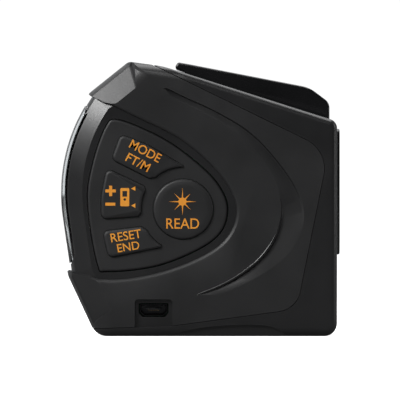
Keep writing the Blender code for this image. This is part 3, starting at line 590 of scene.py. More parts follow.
class Effects:
    """Shader node groups that several finishes share, each built once."""

    @staticmethod
    def _group(name: str, inputs: dict[str, float], outputs: dict[str, str]) -> tuple:
        """Starts a group with float inputs and typed outputs.

        Args:
            name: Name of the group.
            inputs: Input names and default values.
            outputs: Output names and socket types, without the NodeSocket prefix.

        Returns:
            The tree and its input and output nodes.
        """
        tree = bpy.data.node_groups.new(name, "ShaderNodeTree")
        for key, value in inputs.items():
            socket = tree.interface.new_socket(key, in_out="INPUT", socket_type="NodeSocketFloat")
            socket.default_value = value
        for key, kind in outputs.items():
            tree.interface.new_socket(key, in_out="OUTPUT", socket_type="NodeSocket" + kind)
        return tree, tree.nodes.new("NodeGroupInput"), tree.nodes.new("NodeGroupOutput")

    @staticmethod
    def grain() -> bpy.types.NodeTree:
        """Moulded grain: a fine height and a slow unevenness of tone.

        Returns:
            The group.
        """
        if "moulded_grain" in bpy.data.node_groups:
            return bpy.data.node_groups["moulded_grain"]
        tree, given, result = Effects._group(
            "moulded_grain", {"Scale": 3000.0, "Drift Scale": 70.0}, {"Height": "Float", "Drift": "Float"}
        )
        place = tree.nodes.new("ShaderNodeTexCoord")
        fine = tree.nodes.new("ShaderNodeTexNoise")
        fine.inputs["Detail"].default_value = 3.0
        fine.inputs["Roughness"].default_value = 0.6
        slow = tree.nodes.new("ShaderNodeTexNoise")
        slow.inputs["Detail"].default_value = 2.0
        for noise, key in ((fine, "Scale"), (slow, "Drift Scale")):
            tree.links.new(place.outputs["Object"], noise.inputs["Vector"])
            tree.links.new(given.outputs[key], noise.inputs["Scale"])
        tree.links.new(fine.outputs[0], result.inputs["Height"])
        tree.links.new(slow.outputs[0], result.inputs["Drift"])
        return tree

    @staticmethod
    def edge_rub() -> bpy.types.NodeTree:
        """Painted edge highlight: a mask that is 1 where the surface turns sharply outwards, so that edges
        can be painted paler as if they caught the light.

        Returns:
            The group.
        """
        if "edge_rub" in bpy.data.node_groups:
            return bpy.data.node_groups["edge_rub"]
        tree, given, result = Effects._group(
            "edge_rub", {"Reach": 0.0004, "Gain": 1.6}, {"Mask": "Float"}
        )
        bevel = tree.nodes.new("ShaderNodeBevel")
        bevel.samples = 4
        tree.links.new(given.outputs["Reach"], bevel.inputs["Radius"])
        flat = tree.nodes.new("ShaderNodeNewGeometry")
        dot = tree.nodes.new("ShaderNodeVectorMath")
        dot.operation = "DOT_PRODUCT"
        tree.links.new(bevel.outputs[0], dot.inputs[0])
        tree.links.new(flat.outputs["Normal"], dot.inputs[1])
        rest = tree.nodes.new("ShaderNodeMath")
        rest.operation = "SUBTRACT"
        rest.use_clamp = True
        rest.inputs[0].default_value = 1.0
        tree.links.new(dot.outputs["Value"], rest.inputs[1])
        gain = tree.nodes.new("ShaderNodeMath")
        gain.operation = "MULTIPLY"
        gain.use_clamp = True
        tree.links.new(rest.outputs[0], gain.inputs[0])
        tree.links.new(given.outputs["Gain"], gain.inputs[1])
        tree.links.new(gain.outputs[0], result.inputs["Mask"])
        return tree

    @staticmethod
    def dust() -> bpy.types.NodeTree:
        """Handling dust: a faint patchy mask on faces that look up.

        Returns:
            The group.
        """
        if "dust" in bpy.data.node_groups:
            return bpy.data.node_groups["dust"]
        tree, given, result = Effects._group("dust", {"Scale": 160.0, "Amount": 0.2}, {"Mask": "Float"})
        place = tree.nodes.new("ShaderNodeTexCoord")
        noise = tree.nodes.new("ShaderNodeTexNoise")
        noise.inputs["Detail"].default_value = 4.0
        tree.links.new(place.outputs["Object"], noise.inputs["Vector"])
        tree.links.new(given.outputs["Scale"], noise.inputs["Scale"])
        split = tree.nodes.new("ShaderNodeSeparateXYZ")
        facing = tree.nodes.new("ShaderNodeNewGeometry")
        tree.links.new(facing.outputs["Normal"], split.inputs[0])
        reach = tree.nodes.new("ShaderNodeMapRange")
        reach.inputs["From Min"].default_value = 0.1
        tree.links.new(split.outputs["Z"], reach.inputs["Value"])
        patches = tree.nodes.new("ShaderNodeMapRange")
        patches.inputs["From Min"].default_value = 0.45
        patches.inputs["From Max"].default_value = 0.75
        tree.links.new(noise.outputs[0], patches.inputs["Value"])
        both = tree.nodes.new("ShaderNodeMath")
        both.operation = "MULTIPLY"
        tree.links.new(reach.outputs[0], both.inputs[0])
        tree.links.new(patches.outputs[0], both.inputs[1])
        amount = tree.nodes.new("ShaderNodeMath")
        amount.operation = "MULTIPLY"
        tree.links.new(both.outputs[0], amount.inputs[0])
        tree.links.new(given.outputs["Amount"], amount.inputs[1])
        tree.links.new(amount.outputs[0], result.inputs["Mask"])
        return tree


@dataclass(frozen=True)
class Finish:
    """A surface finish: its colour, its gloss and the pattern moulded or printed in it.

    Attributes:
        name: Name of the material.
        colour: Linear base colour.
        rough: Roughness, and its change over the surface.
        grain: Scale of the fine grain, per metre, and its depth in metres.
        metal: 1 for a metal.
        painted_edge_light: How much paler sharp edges are painted, as a painted edge highlight.
        dust: How much dust lies on faces that look up.
        transmission: 1 for a clear piece.
        pattern: The pattern.
        slot: The record's material slot; not used.
    """

    name: str
    colour: Spot
    rough: tuple[float, float] = (0.5, 0.1)
    grain: tuple[float, float] = (3000.0, 0.00002)
    metal: float = 0.0
    painted_edge_light: float = 0.0
    dust: float = 0.0
    transmission: float = 0.0
    pattern: Pattern = Pattern.GRAIN
    slot: str = "hard_black"

    def material(self) -> bpy.types.Material:
        """The material, built the first time it is asked for.

        Returns:
            The material.
        """
        made = bpy.data.materials.get(self.name)
        if made:
            return made
        made = bpy.data.materials.new(self.name)
        made.use_nodes = True
        nodes, links = made.node_tree.nodes, made.node_tree.links
        shader = nodes["Principled BSDF"]
        shader.inputs["Metallic"].default_value = self.metal
        shader.inputs["Transmission Weight"].default_value = self.transmission
        grain = nodes.new("ShaderNodeGroup")
        grain.node_tree = Effects.grain()
        grain.inputs["Scale"].default_value = self.grain[0]
        rough = nodes.new("ShaderNodeMapRange")
        rough.inputs["From Min"].default_value = 0.3
        rough.inputs["From Max"].default_value = 0.7
        rough.inputs["To Min"].default_value = max(self.rough[0] - self.rough[1], 0.01)
        rough.inputs["To Max"].default_value = self.rough[0] + self.rough[1]
        links.new(grain.outputs["Drift"], rough.inputs["Value"])
        links.new(rough.outputs[0], shader.inputs["Roughness"])
        bump = nodes.new("ShaderNodeBump")
        bump.inputs["Strength"].default_value = 0.6
        bump.inputs["Distance"].default_value = self.grain[1]
        height = grain.outputs["Height"]
        if self.pattern is Pattern.BRUSHED:
            height = self._brushed(made.node_tree)
        links.new(height, bump.inputs["Height"])
        links.new(bump.outputs[0], shader.inputs["Normal"])
        tone = self._tone(made.node_tree, grain)
        links.new(tone, shader.inputs["Base Color"])
        return made

    def _brushed(self, tree: bpy.types.NodeTree) -> bpy.types.NodeSocket:
        """Fine scratches that run along X.

        Args:
            tree: The material's tree.

        Returns:
            The height socket.
        """
        place = tree.nodes.new("ShaderNodeTexCoord")
        stretch = tree.nodes.new("ShaderNodeMapping")
        stretch.inputs["Scale"].default_value = (0.04, 1.0, 1.0)
        noise = tree.nodes.new("ShaderNodeTexNoise")
        noise.inputs["Scale"].default_value = self.grain[0]
        tree.links.new(place.outputs["Object"], stretch.inputs["Vector"])
        tree.links.new(stretch.outputs[0], noise.inputs["Vector"])
        return noise.outputs[0]

    def _tone(self, tree: bpy.types.NodeTree, grain: bpy.types.Node) -> bpy.types.NodeSocket:
        """Base colour with drift, painted edge highlights and dust.

        Args:
            tree: The material's tree.
            grain: Its grain group.

        Returns:
            The colour socket.
        """
        steps = [(grain.outputs["Drift"], tuple(min(c * 1.5 + 0.002, 1.0) for c in self.colour))]
        if self.pattern is Pattern.BOARD:
            place = tree.nodes.new("ShaderNodeTexCoord")
            tracks = tree.nodes.new("ShaderNodeTexBrick")
            tracks.inputs["Scale"].default_value = 260.0
            tracks.inputs["Mortar Size"].default_value = 0.06
            tree.links.new(place.outputs["Object"], tracks.inputs["Vector"])
            steps.append((tracks.outputs["Fac"], tuple(c * 2.2 for c in self.colour)))
        # Painted edge highlight: sharp edges are painted paler, standing in for the light that they catch.
        if self.painted_edge_light:
            edge = tree.nodes.new("ShaderNodeGroup")
            edge.node_tree = Effects.edge_rub()
            steps.append((edge.outputs["Mask"], tuple(min(c + self.painted_edge_light, 1.0) for c in self.colour)))
        if self.dust:
            dust = tree.nodes.new("ShaderNodeGroup")
            dust.node_tree = Effects.dust()
            dust.inputs["Amount"].default_value = self.dust
            steps.append((dust.outputs["Mask"], (0.35, 0.34, 0.32)))
        colour: object = (*self.colour, 1.0)
        for mask, tint in steps:
            mix = tree.nodes.new("ShaderNodeMix")
            mix.data_type = "RGBA"
            tree.links.new(mask, mix.inputs[0])
            if isinstance(colour, bpy.types.NodeSocket):
                tree.links.new(colour, mix.inputs[6])
            else:
                mix.inputs[6].default_value = colour
            mix.inputs[7].default_value = (*tint, 1.0)
            colour = mix.outputs[2]
        return colour


# The rub values below paint a paler highlight along sharp edges.
SOFT_SKIN = Finish(
    "soft_skin", (0.0115, 0.0115, 0.012), (0.41, 0.05), (3600.0, 0.00003),
    painted_edge_light=0.03, dust=0.05, slot="soft_black",
)
SATIN_SHELL = Finish(
    "satin_shell", (0.009, 0.009, 0.0095), (0.31, 0.04), (4200.0, 0.000008), painted_edge_light=0.03, dust=0.03
)
GLOSS_TRIM = Finish("gloss_trim", (0.004, 0.004, 0.0045), (0.16, 0.04), (900.0, 0.000003), slot="gloss_black")
KEY_RUBBER = Finish(
    "key_rubber", (0.0095, 0.0095, 0.010), (0.5, 0.08), (4800.0, 0.00002), painted_edge_light=0.03, slot="rubber"
)
PAD_RUBBER = Finish("pad_rubber", (0.02, 0.02, 0.02), (0.8, 0.06), (2600.0, 0.00005), slot="rubber")
PRINT_ORANGE = Finish("print_orange", (0.88, 0.29, 0.026), (0.5, 0.06), (2600.0, 0.00001), slot="rubber")
CLEAR_WINDOW = Finish(
    "clear_window", (0.80, 0.84, 0.85), (0.05, 0.02), (500.0, 0.000001), transmission=1.0, slot="clear"
)
LENS_GLASS = Finish(
    "lens_glass", (0.62, 0.74, 0.86), (0.03, 0.01), (500.0, 0.000001), transmission=1.0, slot="clear"
)
LCD_FACE = Finish("lcd_face", (0.20, 0.23, 0.19), (0.30, 0.05), (900.0, 0.000002), slot="clear")
LCD_INK = Finish("lcd_ink", (0.012, 0.014, 0.012), (0.4, 0.05), (900.0, 0.000002), slot="clear")
PLATED_STEEL = Finish(
    "plated_steel", (0.50, 0.50, 0.51), (0.28, 0.08), (2600.0, 0.000004), 1.0,
    pattern=Pattern.BRUSHED, slot="steel",
)
DARK_SCREW = Finish("dark_screw", (0.09, 0.09, 0.095), (0.35, 0.08), (2200.0, 0.000004), 1.0, slot="steel")
# Near-black socket metal: painted shade standing in for the dark inside of the socket's opening, in place of
# its plated colour.
SOCKET_PAINTED_SHADE = Finish(
    "black_nickel", (0.03, 0.03, 0.032), (0.25, 0.06), (2200.0, 0.000003), 1.0, slot="steel"
)
SPRING_STEEL = Finish(
    "spring_steel", (0.34, 0.34, 0.35), (0.34, 0.08), (2400.0, 0.000004), 1.0,
    pattern=Pattern.BRUSHED, slot="steel",
)
WARM_BRASS = Finish("warm_brass", (0.62, 0.43, 0.18), (0.30, 0.08), (2400.0, 0.000003), 1.0, slot="brass")
TAPE_LACQUER = Finish(
    "tape_lacquer", (0.80, 0.50, 0.02), (0.34, 0.05), (1500.0, 0.000004), slot="blade_yellow"
)
TAPE_INK = Finish("tape_ink", (0.012, 0.012, 0.012), (0.45, 0.05), (1500.0, 0.000002), slot="blade_yellow")
BOARD_RESIST = Finish(
    "board_resist", (0.012, 0.10, 0.04), (0.35, 0.08), (2400.0, 0.000004),
    pattern=Pattern.BOARD, slot="board_green",
)
FOIL = Finish("foil", (0.42, 0.44, 0.47), (0.36, 0.1), (800.0, 0.00003), 1.0, slot="pouch")
NATURAL_NYLON = Finish("natural_nylon", (0.52, 0.50, 0.45), (0.5, 0.08), (2000.0, 0.00001), slot="nylon")


def deliver(
    piece: bpy.types.Object, finish: Finish, body: str, *replaced: str, crease: float = 32.0
) -> bpy.types.Object:
    """Dresses a finished piece and hangs it on its body.

    Args:
        piece: The piece, a plain mesh at the origin.
        finish: Its finish.
        body: The frame's body that it rides on.
        *replaced: CAD nodes that it stands for.
        crease: Angle in degrees past which an edge stays sharp.

    Returns:
        The piece.
    """
    piece.data.materials.clear()
    piece.data.materials.append(finish.material())
    piece.data.shade_smooth()
    piece.data.set_sharp_from_angle(angle=math.radians(crease))
    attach(piece, body)
    if replaced:
        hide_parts(*replaced)
    LOG.info("%s: %d faces, on %s", piece.name, len(piece.data.polygons), body)
    return piece


def carry(finish: Finish, *nodes: str) -> None:
    """Gives CAD nodes that stay in view a finish.

    Args:
        finish: The finish.
        *nodes: Names of the nodes.
    """
    for name in nodes:
        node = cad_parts[name]
        node.data.materials.clear()
        node.data.materials.append(finish.material())
        LOG.info("%s: carried over", name)


# ---------------------------------------------------------------- the case


@dataclass(frozen=True)
class CaseForm:
    """Outer form of the case: a rounded outline whose edges turn over to two flat sides.

    Attributes:
        front: X of the front face.
        half: Half the width.
        corners: Corners of the outline, clockwise from the keypad side, as (x, z, radius).
        edges: Edge rounding of the side that starts at each corner.
        steps: Pieces of each corner's arc.
        rings: Pieces of an edge's rounding.
    """

    front: float = 38.3
    half: float = 23.0
    corners: tuple[Corner, ...] = (
        (-29.3, 0.0, 5.0),
        (-37.2, 17.0, 6.0),
        (-42.15, 51.4, 48.0),
        (-31.1, 68.3, 2.0),
        (-20.2, 77.0, 2.2),
        (-10.7, 75.7, 28.0),
        (38.3, 60.2, 2.6),
        (38.3, 0.0, 3.6),
    )
    edges: tuple[float, ...] = (6.0, 7.0, 7.0, 7.0, 3.4, 1.8, 1.8, 2.4)
    steps: tuple[int, ...] = (10, 8, 34, 6, 10, 12, 10, 10)
    rings: int = 9

    def outline(self, inset: float | Sequence[float]) -> list[Point]:
        """The case's outline moved inwards.

        Args:
            inset: One distance, or one for each side.

        Returns:
            The outline.
        """
        distances = [inset] * len(self.corners) if isinstance(inset, float) else inset
        return rounded(inset_corners(self.corners, distances), self.steps)

    def shoulders(self) -> list[float]:
        """Distance from the middle at which each outline point's edge starts to turn over.

        Returns:
            One distance for each point of the outline.
        """
        levels: list[float] = []
        for i, pieces in enumerate(self.steps):
            before, after = self.edges[i - 1], self.edges[i]
            levels += [self.half - (before + (after - before) * k / pieces) for k in range(pieces + 1)]
        return levels

    def envelope(self, name: str, inset: float) -> bpy.types.Object:
        """The outer form moved inwards.

        Args:
            name: Name of the solid.
            inset: How far, in millimetres.

        Returns:
            The solid.
        """
        equator = self.outline(float(inset))
        flat = self.outline([max(edge, inset + 0.6) for edge in self.edges])
        reach = self.half - inset
        angles = [math.pi / 2 * k / self.rings for k in range(self.rings + 1)]
        rings = []
        for side, ordered in ((-1, reversed(angles)), (1, angles)):
            for angle in ordered:
                inward = 1 - math.cos(angle)
                ring = []
                for (x0, z0), (x1, z1), level in zip(equator, flat, self.shoulders()):
                    level = min(level, reach - 0.5)
                    y = side * (level + (reach - level) * math.sin(angle))
                    ring.append(Vector((x0 + (x1 - x0) * inward, y, z0 + (z1 - z0) * inward)))
                rings.append(ring)
        return loft(name, rings)

    def back_wedge(self, name: str, side: Side, section: Sequence[Point]) -> bpy.types.Object:
        """A band that follows the back of the case on one side.

        Args:
            name: Name of the solid.
            side: The side that it is on.
            section: Its section as (inset, distance from the middle).

        Returns:
            The solid.
        """
        start, end = self.steps[0], sum(self.steps[:5]) + 5
        tracks = [(self.outline(float(inset)), side.value * level) for inset, level in section]
        return loft(name, [[Vector((*track[i], y)).xzy for track, y in tracks] for i in range(start, end)])

    def top(self, x: float) -> float:
        """Height of the sloping top at a place along the case."""
        (x0, z0, _), (x1, z1, _) = self.corners[5], self.corners[6]
        return z0 + (z1 - z0) * (x - x0) / (x1 - x0)


FORM = CaseForm()


@dataclass(frozen=True)
class Styling:
    """Lines that several pieces of the case share.

    Attributes:
        soft: Border of the soft skin.
        rim_points: Rim of its opening round keypad and display.
        mat_points: Border of the keypad mat.
        screws: Places of the case screws.
        socket: Middle of the charging socket.
        clip_screw: Place of the belt clip's screw.
        parting: Y of the plane where the halves meet.
    """

    soft: tuple[Corner, ...] = ((-60, 98.8, 0), (35.8, 51.9, 9), (26.9, 7.7, 7), (-8, 3, 10), (-60, 1.2, 0))
    rim_points: tuple[Point, ...] = (
        (-46.0, 77.0), (-38.0, 72.0), (-30.2, 67.2), (-19.2, 61.8), (-4.9, 54.4), (6.0, 44.2),
        (9.9, 34.8), (5.4, 25.8), (-8.3, 19.0), (-24.0, 16.1), (-36.4, 17.9), (-46.0, 23.0),
    )
    mat_points: tuple[Point, ...] = (
        (-31.6, 37.2), (-30.3, 48.0), (-26.6, 58.6), (-23.2, 60.7), (-13.5, 57.0), (-4.9, 51.8), (4.4, 43.4),
        (7.7, 35.2), (3.7, 27.0), (-10.6, 20.1), (-25.6, 18.1), (-28.9, 20.4),
    )
    screws: tuple[Point, ...] = ((-22.0, 66.0), (-26.0, 9.0), (16.0, 57.4), (24.0, 16.8))
    socket: Point = (-13.1, 7.4)
    clip_screw: Point = (-13.5, 49.5)
    parting: float = 2.0

    @property
    def rim(self) -> list[Point]:
        """The rim as a curve."""
        return smooth(self.rim_points, closed=False)

    @property
    def mat(self) -> list[Point]:
        """The mat's border as a curve."""
        return smooth(self.mat_points)

    def half_space(self, side: Side) -> bpy.types.Object:
        """A block that fills one half of the case, up to the parting line."""
        low, high = sorted((side.value * FAR, self.parting + side.value * 0.12))
        return block(f"half_{side.name.lower()}", (-FAR, low, -FAR), (FAR, high, 2 * FAR))


STYLE = Styling()


@dataclass
class HardCase:
    """The two hard shells with their openings.

    Attributes:
        inset: How far the shells lie under the outer form where the soft skin covers them.
        wall: Wall thickness.
        gap: Gap between pieces.
        window_half: Half the display window's width.
        window_span: Lowest and highest place of the window.
        panel: Half width, bottom and top of the front panel.
        hook: Half width and top of the hook's pocket, and its depth.
        mouth: Half width, bottom and top of the tape's mouth.
        slot_half: Half the lever slot's width.
        slot_span: Where the lever slot starts and ends along the case.
        arch: Upper edge of the shallow arch over the base.
        bezel_cut: Section of the slanted cut round the display end, as distance in from the outline and Y.
    """

    inset: float = 1.2
    wall: float = 1.8
    gap: float = 0.3
    window_half: float = 19.4
    window_span: Point = (20.4, 64.6)
    panel: Spot = (14.0, 22.8, 58.2)
    hook: Spot = (12.0, 15.2, 2.8)
    mouth: Spot = (10.1, 6.6, 12.9)
    slot_half: float = 10.3
    slot_span: Point = (-4.5, 36.8)
    arch: tuple[Point, ...] = (
        (-12.0, -0.6), (-3.0, 1.9), (5.0, 3.0), (14.0, 3.3), (20.5, 2.6), (25.0, -0.6),
    )
    bezel_cut: tuple[Point, ...] = ((2.3, 19.35), (7.05, 21.84), (7.05, 27), (-4, 27), (-4, 19.35))

    def window_area(self, name: str, grow: float, deep: float) -> bpy.types.Object:
        """A block with rounded corners over the back of the case, as large as the window.

        Args:
            name: Name of the solid.
            grow: How much larger than the window.
            deep: X of its inner end.

        Returns:
            The solid.
        """
        half = self.window_half + grow
        low, high = self.window_span[0] - grow, self.window_span[1] + grow
        corners = [(-half, low, 3.0), (-half, high, 3.0), (half, high, 3.0), (half, low, 3.0)]
        return prism(name, rounded(corners, 8), -FAR, deep, Axis.X)

    def window_solid(self, name: str, outer: float, inner: float, grow: float) -> bpy.types.Object:
        """The part of the case's wall that the window takes, between two depths."""
        solid = combine(FORM.envelope(name, outer), Operation.CUT, FORM.envelope("inside", inner))
        return combine(solid, Operation.KEEP, self.window_area("area", grow, -26.0))

    def openings(self) -> list[bpy.types.Object]:
        """Cutters for everything that opens through both halves.

        Returns:
            The cutters.
        """
        half, low, high = self.panel
        hook_half, hook_top, hook_deep = self.hook
        front, gap = FORM.front, self.gap
        back = front - 0.7 - gap
        corners = [(-half - gap, low - gap, 2.3), (-half - gap, high + gap, 2.3)]
        corners += [(half + gap, high + gap, 2.3), (half + gap, low - gap, 2.3)]
        start, end = self.slot_span
        slot = [(start, FORM.top(start) - 8), (start, 90), (end, 90), (end, FORM.top(end) - 8)]
        return [
            self.window_area("display_opening", -2.0, -26.0),
            prism("panel_pocket", rounded(corners, 8), back, FAR, Axis.X),
            block("optics_way", (31, -10, low + 2.2), (FAR, 10, high - 7.5)),
            block("hook_pocket", (front - hook_deep, -hook_half, -5), (FAR, hook_half, hook_top)),
            block("mouth", (31, -self.mouth[0], self.mouth[1]), (FAR, self.mouth[0], self.mouth[2])),
            prism("lever_slot", slot, -self.slot_half, self.slot_half),
        ]

    def scoop(self, side: Side) -> bpy.types.Object:
        """Cutter for the shallow arch over the base on one side, deepest at its upper edge.

        Args:
            side: The side of the case.

        Returns:
            The cutter.
        """
        upper = smooth(self.arch, closed=False, steps=6)
        lower = [(x, -2.0) for x, _ in upper]
        level = side.value * (FORM.half - 0.9)
        rings = []
        for (x, z), (x0, z0) in zip(upper, lower):
            rings.append([
                Vector((x, level, z)), Vector((x, side.value * FAR, z)),
                Vector((x0, side.value * FAR, z0)), Vector((x0, side.value * (FORM.half - 1.2), z0)),
            ])
        return loft("scoop", rings)

    def whole(self) -> bpy.types.Object:
        """Both shells in one piece.

        Returns:
            The solid.
        """
        shell = FORM.envelope("hard_case", self.inset)
        for side in Side:
            shell = combine(shell, Operation.CUT, FORM.back_wedge("bezel_wedge", side, self.bezel_cut))
        border = rounded(inset_corners(STYLE.soft, [-0.22] * 5), 16)
        land = combine(
            FORM.envelope("land", 0.0),
            Operation.CUT,
            prism("soft_area", border, -FAR, FAR),
            prism("rim_area", grown(STYLE.rim, -self.gap), -FAR, FAR),
        )
        shell = combine(shell, Operation.JOIN, land)
        shell = combine(shell, Operation.CUT, FORM.envelope("cavity", self.inset + self.wall))
        seat = self.window_solid("window_seat", 0.0, 2.4, 0.2)
        shell = combine(shell, Operation.CUT, seat, *self.openings())
        return combine(shell, Operation.CUT, *(self.scoop(side) for side in Side))

    def build(self) -> None:
        """Builds and delivers both shells, the far side's plate and the case screws."""
        whole = self.whole()
        twin = bpy.data.objects.new("hard_case_left", whole.data.copy())
        bpy.context.scene.collection.objects.link(twin)
        whole.name = "hard_case_right"
        x, z = STYLE.socket
        mouth = rounded([(x - 4.2, z - 0.9, 0.3), (x - 4.2, z + 1.9, 0.5), (x + 4.2, z + 1.9, 0.5),
                         (x + 4.2, z - 0.9, 0.3), (x + 3.2, z - 2.0, 0.3), (x - 3.2, z - 2.0, 0.3)], 4)
        right = combine(whole, Operation.KEEP, STYLE.half_space(Side.RIGHT))
        right = combine(
            right,
            Operation.CUT,
            prism("keypad_hole", grown(STYLE.mat, 0.2), -FAR, -17),
            prism("socket_hole", mouth, -FAR, -17),
        )
        deliver(right, SATIN_SHELL, "case", "right_shell", crease=20)
        left = combine(twin, Operation.KEEP, STYLE.half_space(Side.LEFT))
        cutters = [prism("plate_recess", grown(STYLE.mat, 0.28), FORM.half - 2.0, FAR)]
        for i, spot in enumerate(STYLE.screws):
            well = [(0, 19.8), (2.3, 19.8), (2.3, FAR), (0, FAR)]
            cutters.append(turned(f"head_well_{i}", well, Axis.Y, spot))
        left = combine(left, Operation.CUT, *cutters)
        boss = [(0, 19.9), (3.6, 19.9), (3.6, 22.7), (3.3, 23.0), (0, 23.0)]
        pad = turned("clip_pad", boss, Axis.Y, STYLE.clip_screw)
        left = combine(left, Operation.JOIN, pad)
        deliver(left, SATIN_SHELL, "case", "left_shell", crease=20)
        plate = pillow("side_plate", STYLE.mat, 22.08, 21.3, 0.35)
        hole = turned("pad_hole", [(0, 15), (3.9, 15), (3.9, 30), (0, 30)], Axis.Y, STYLE.clip_screw)
        deliver(combine(plate, Operation.CUT, hole), GLOSS_TRIM, "case", "side_badge")
        self.screws()

    def screws(self) -> None:
        """Case screws: one turned head with a six-lobed drive, set at every boss by a node tree."""
        head = [(0, 0.0), (1.3, 0.0), (1.85, -0.25), (2.0, -0.6), (2.0, -1.4)]
        profile = head + [(1.1, -1.4), (1.1, -26), (0, -26.8)]
        screw = turned("screw", [(r, 21.8 + h) for r, h in profile], Axis.Y, count=32)
        lobes = []
        for k in range(48):
            angle = math.tau * k / 48
            reach = 0.85 + 0.17 * math.cos(6 * angle)
            lobes.append((reach * math.cos(angle), reach * math.sin(angle)))
        screw = combine(screw, Operation.CUT, prism("drive", lobes, 20.9, 25))
        places = bmesh.new()
        for x, z in STYLE.screws:
            places.verts.new(Vector((x, 0, z)) * MM)
        spots = mesh_object("case_screws", places)
        tree = NodePiece("screw_set")
        turn = tree.size("Drive Turn", "Float", 0.6)
        shape = tree.node("GeometryNodeObjectInfo", {"Object": screw})
        spin = tree.node("ShaderNodeMath", {0: turn, 1: tree.node("GeometryNodeInputIndex").outputs[0]},
                         operation="MULTIPLY")
        spun = tree.node("ShaderNodeCombineXYZ", {"Y": spin.outputs[0]})
        set_out = tree.node(
            "GeometryNodeInstanceOnPoints",
            {
                "Points": tree.source.outputs[0],
                "Instance": shape.outputs["Geometry"],
                "Rotation": spun.outputs[0],
            },
        )
        result = tree.run(set_out.outputs[0], DARK_SCREW.material(), "case_screws", spots)
        bpy.data.objects.remove(screw, do_unlink=True)
        nodes = [f"case_screw_{i}" for i in range(1, 5)]
        deliver(result, DARK_SCREW, "case", *nodes)


@dataclass
class SoftSkin:
    """The two soft skins, with the lip round the opening and the crescent groove.

    Attributes:
        thick: Thickness of the skin.
        lip: Width of the sloping lip round the opening.
        groove: Depth of the groove.
        bank: Width of the groove's sloping wall.
        bead_width: Width of the bead on the groove's lower edge.
        bead_rise: Height of the bead over the skin.
        facet: Section of the facets' cut at the display end, as distance in from the outline and Y.
        facet_inside: The same for the skin's inside.
        inner: The groove's edge towards the keypad.
        outer: The groove's edge towards the front.
    """

    thick: float = 0.9
    lip: float = 1.2
    groove: float = 0.75
    bank: float = 0.5
    bead_width: float = 0.7
    bead_rise: float = 0.2
    facet: tuple[Point, ...] = ((1.3, 19.96), (7.12, 23.0), (7.12, 27), (-4, 27), (-4, 19.96))
    facet_inside: tuple[Point, ...] = ((2.24, 19.46), (7.37, 22.15), (7.37, 27), (-4, 27), (-4, 19.46))
    inner: tuple[Point, ...] = (
        (-10.7, 69.3), (-7.8, 66.6), (0.8, 62.2), (9.4, 56.8), (16.8, 49.9), (20.9, 43.6), (22.6, 37.4),
        (22.5, 32.8), (20.8, 27.6), (16.8, 21.9), (11.1, 17.3), (5.4, 14.1), (-0.9, 11.6),
    )
    outer: tuple[Point, ...] = (
        (-9.5, 69.6), (-3.8, 66.8), (3.7, 63.4), (12.2, 58.5), (18.0, 53.4), (23.7, 46.5), (27.2, 40.8),
        (28.9, 35.5), (28.6, 30.4), (26.0, 24.6), (20.9, 19.6), (12.3, 14.5), (5.4, 11.6),
    )

    def groove_cutter(self, side: Side) -> bpy.types.Object:
        """The crescent groove: a step at its outer edge above, and at its inner edge below.

        Args:
            side: The side of the case.

        Returns:
            The cutter.
        """
        inner, outer = smooth(self.inner, False, 5), smooth(self.outer, False, 5)
        count = len(inner)
        rings = []
        for k, (a, b) in enumerate(zip(inner, outer)):
            share = k / (count - 1)
            swap = min(max((share - 0.42) / 0.28, 0), 1)
            swap = swap * swap * (3 - 2 * swap)
            fade = min(share / 0.02, (1 - share) / 0.12, 1)
            depth_a, depth_b = self.groove * swap * fade + 0.01, self.groove * (1 - swap) * fade + 0.01
            level = side.value * FORM.half
            floor_a, floor_b = level - side.value * depth_a, level - side.value * depth_b
            top = side.value * (FORM.half + 4)
            first, last = Vector(a), Vector(b)
            lean = (last - first) * min(self.bank / max((last - first).length, 0.1), 0.3)
            foot_a, foot_b = first + lean, last - lean
            rings.append([
                Vector((a[0], top, a[1])), Vector((a[0], level - side.value * 0.01, a[1])),
                Vector((foot_a.x, floor_a, foot_a.y)), Vector((foot_b.x, floor_b, foot_b.y)),
                Vector((b[0], level - side.value * 0.01, b[1])), Vector((b[0], top, b[1])),
            ])
        return loft("groove", rings)

    def bead(self, name: str, side: Side) -> bpy.types.Object:
        """The fine bead on the groove's lower inner edge, which runs out to nothing above.

        Args:
            name: Name of the piece.
            side: The side of the case.

        Returns:
            The solid.
        """
        path = smooth(self.inner, False, 5)
        path = path[int(len(path) * 0.48):]
        level = side.value * FORM.half
        rings = []
        for k, here in enumerate(path):
            share = k / (len(path) - 1)
            size = max(min(share / 0.4, (1 - share) / 0.05, 1), 0.15)
            along = Vector(path[min(k + 1, len(path) - 1)]) - Vector(path[max(k - 1, 0)])
            across = Vector((-along.y, along.x)).normalized() * self.bead_width / 2 * size
            ring = []
            for step in range(12):
                turn = math.tau * step / 12
                shift, rise = math.cos(turn), math.sin(turn) * self.bead_rise * size
                x, z = here[0] + across.x * shift, here[1] + across.y * shift
                ring.append(Vector((x, level + side.value * rise, z)))
            rings.append(ring)
        return loft(name, rings)

    def skin(self, name: str, side: Side) -> bpy.types.Object:
        """One side's skin.

        Args:
            name: Name of the piece.
            side: The side of the case.

        Returns:
            The solid.
        """
        out = side.value
        facet = FORM.back_wedge("cap_facet", side, self.facet)
        skin = combine(FORM.envelope(name, 0.0), Operation.CUT, facet)
        inside = FORM.envelope("skin_inside", self.thick)
        inside = combine(inside, Operation.CUT, FORM.back_wedge("inner_facet", side, self.facet_inside))
        skin = combine(skin, Operation.CUT, inside)
        skin = combine(skin, Operation.KEEP, prism("skin_area", rounded(STYLE.soft, 16), -FAR, FAR))
        rim = STYLE.rim
        lip = tapered(
            "lip",
            [(-out * 6, rim), (out * 21.75, rim), (out * 22.5, grown(rim, self.lip * 0.35)),
             (out * 22.9, grown(rim, self.lip * 0.8)), (out * 23.05, grown(rim, self.lip * 1.5))],
        )
        skin = combine(skin, Operation.CUT, lip)
        skin = combine(skin, Operation.KEEP, STYLE.half_space(side))
        return combine(skin, Operation.CUT, self.groove_cutter(side))

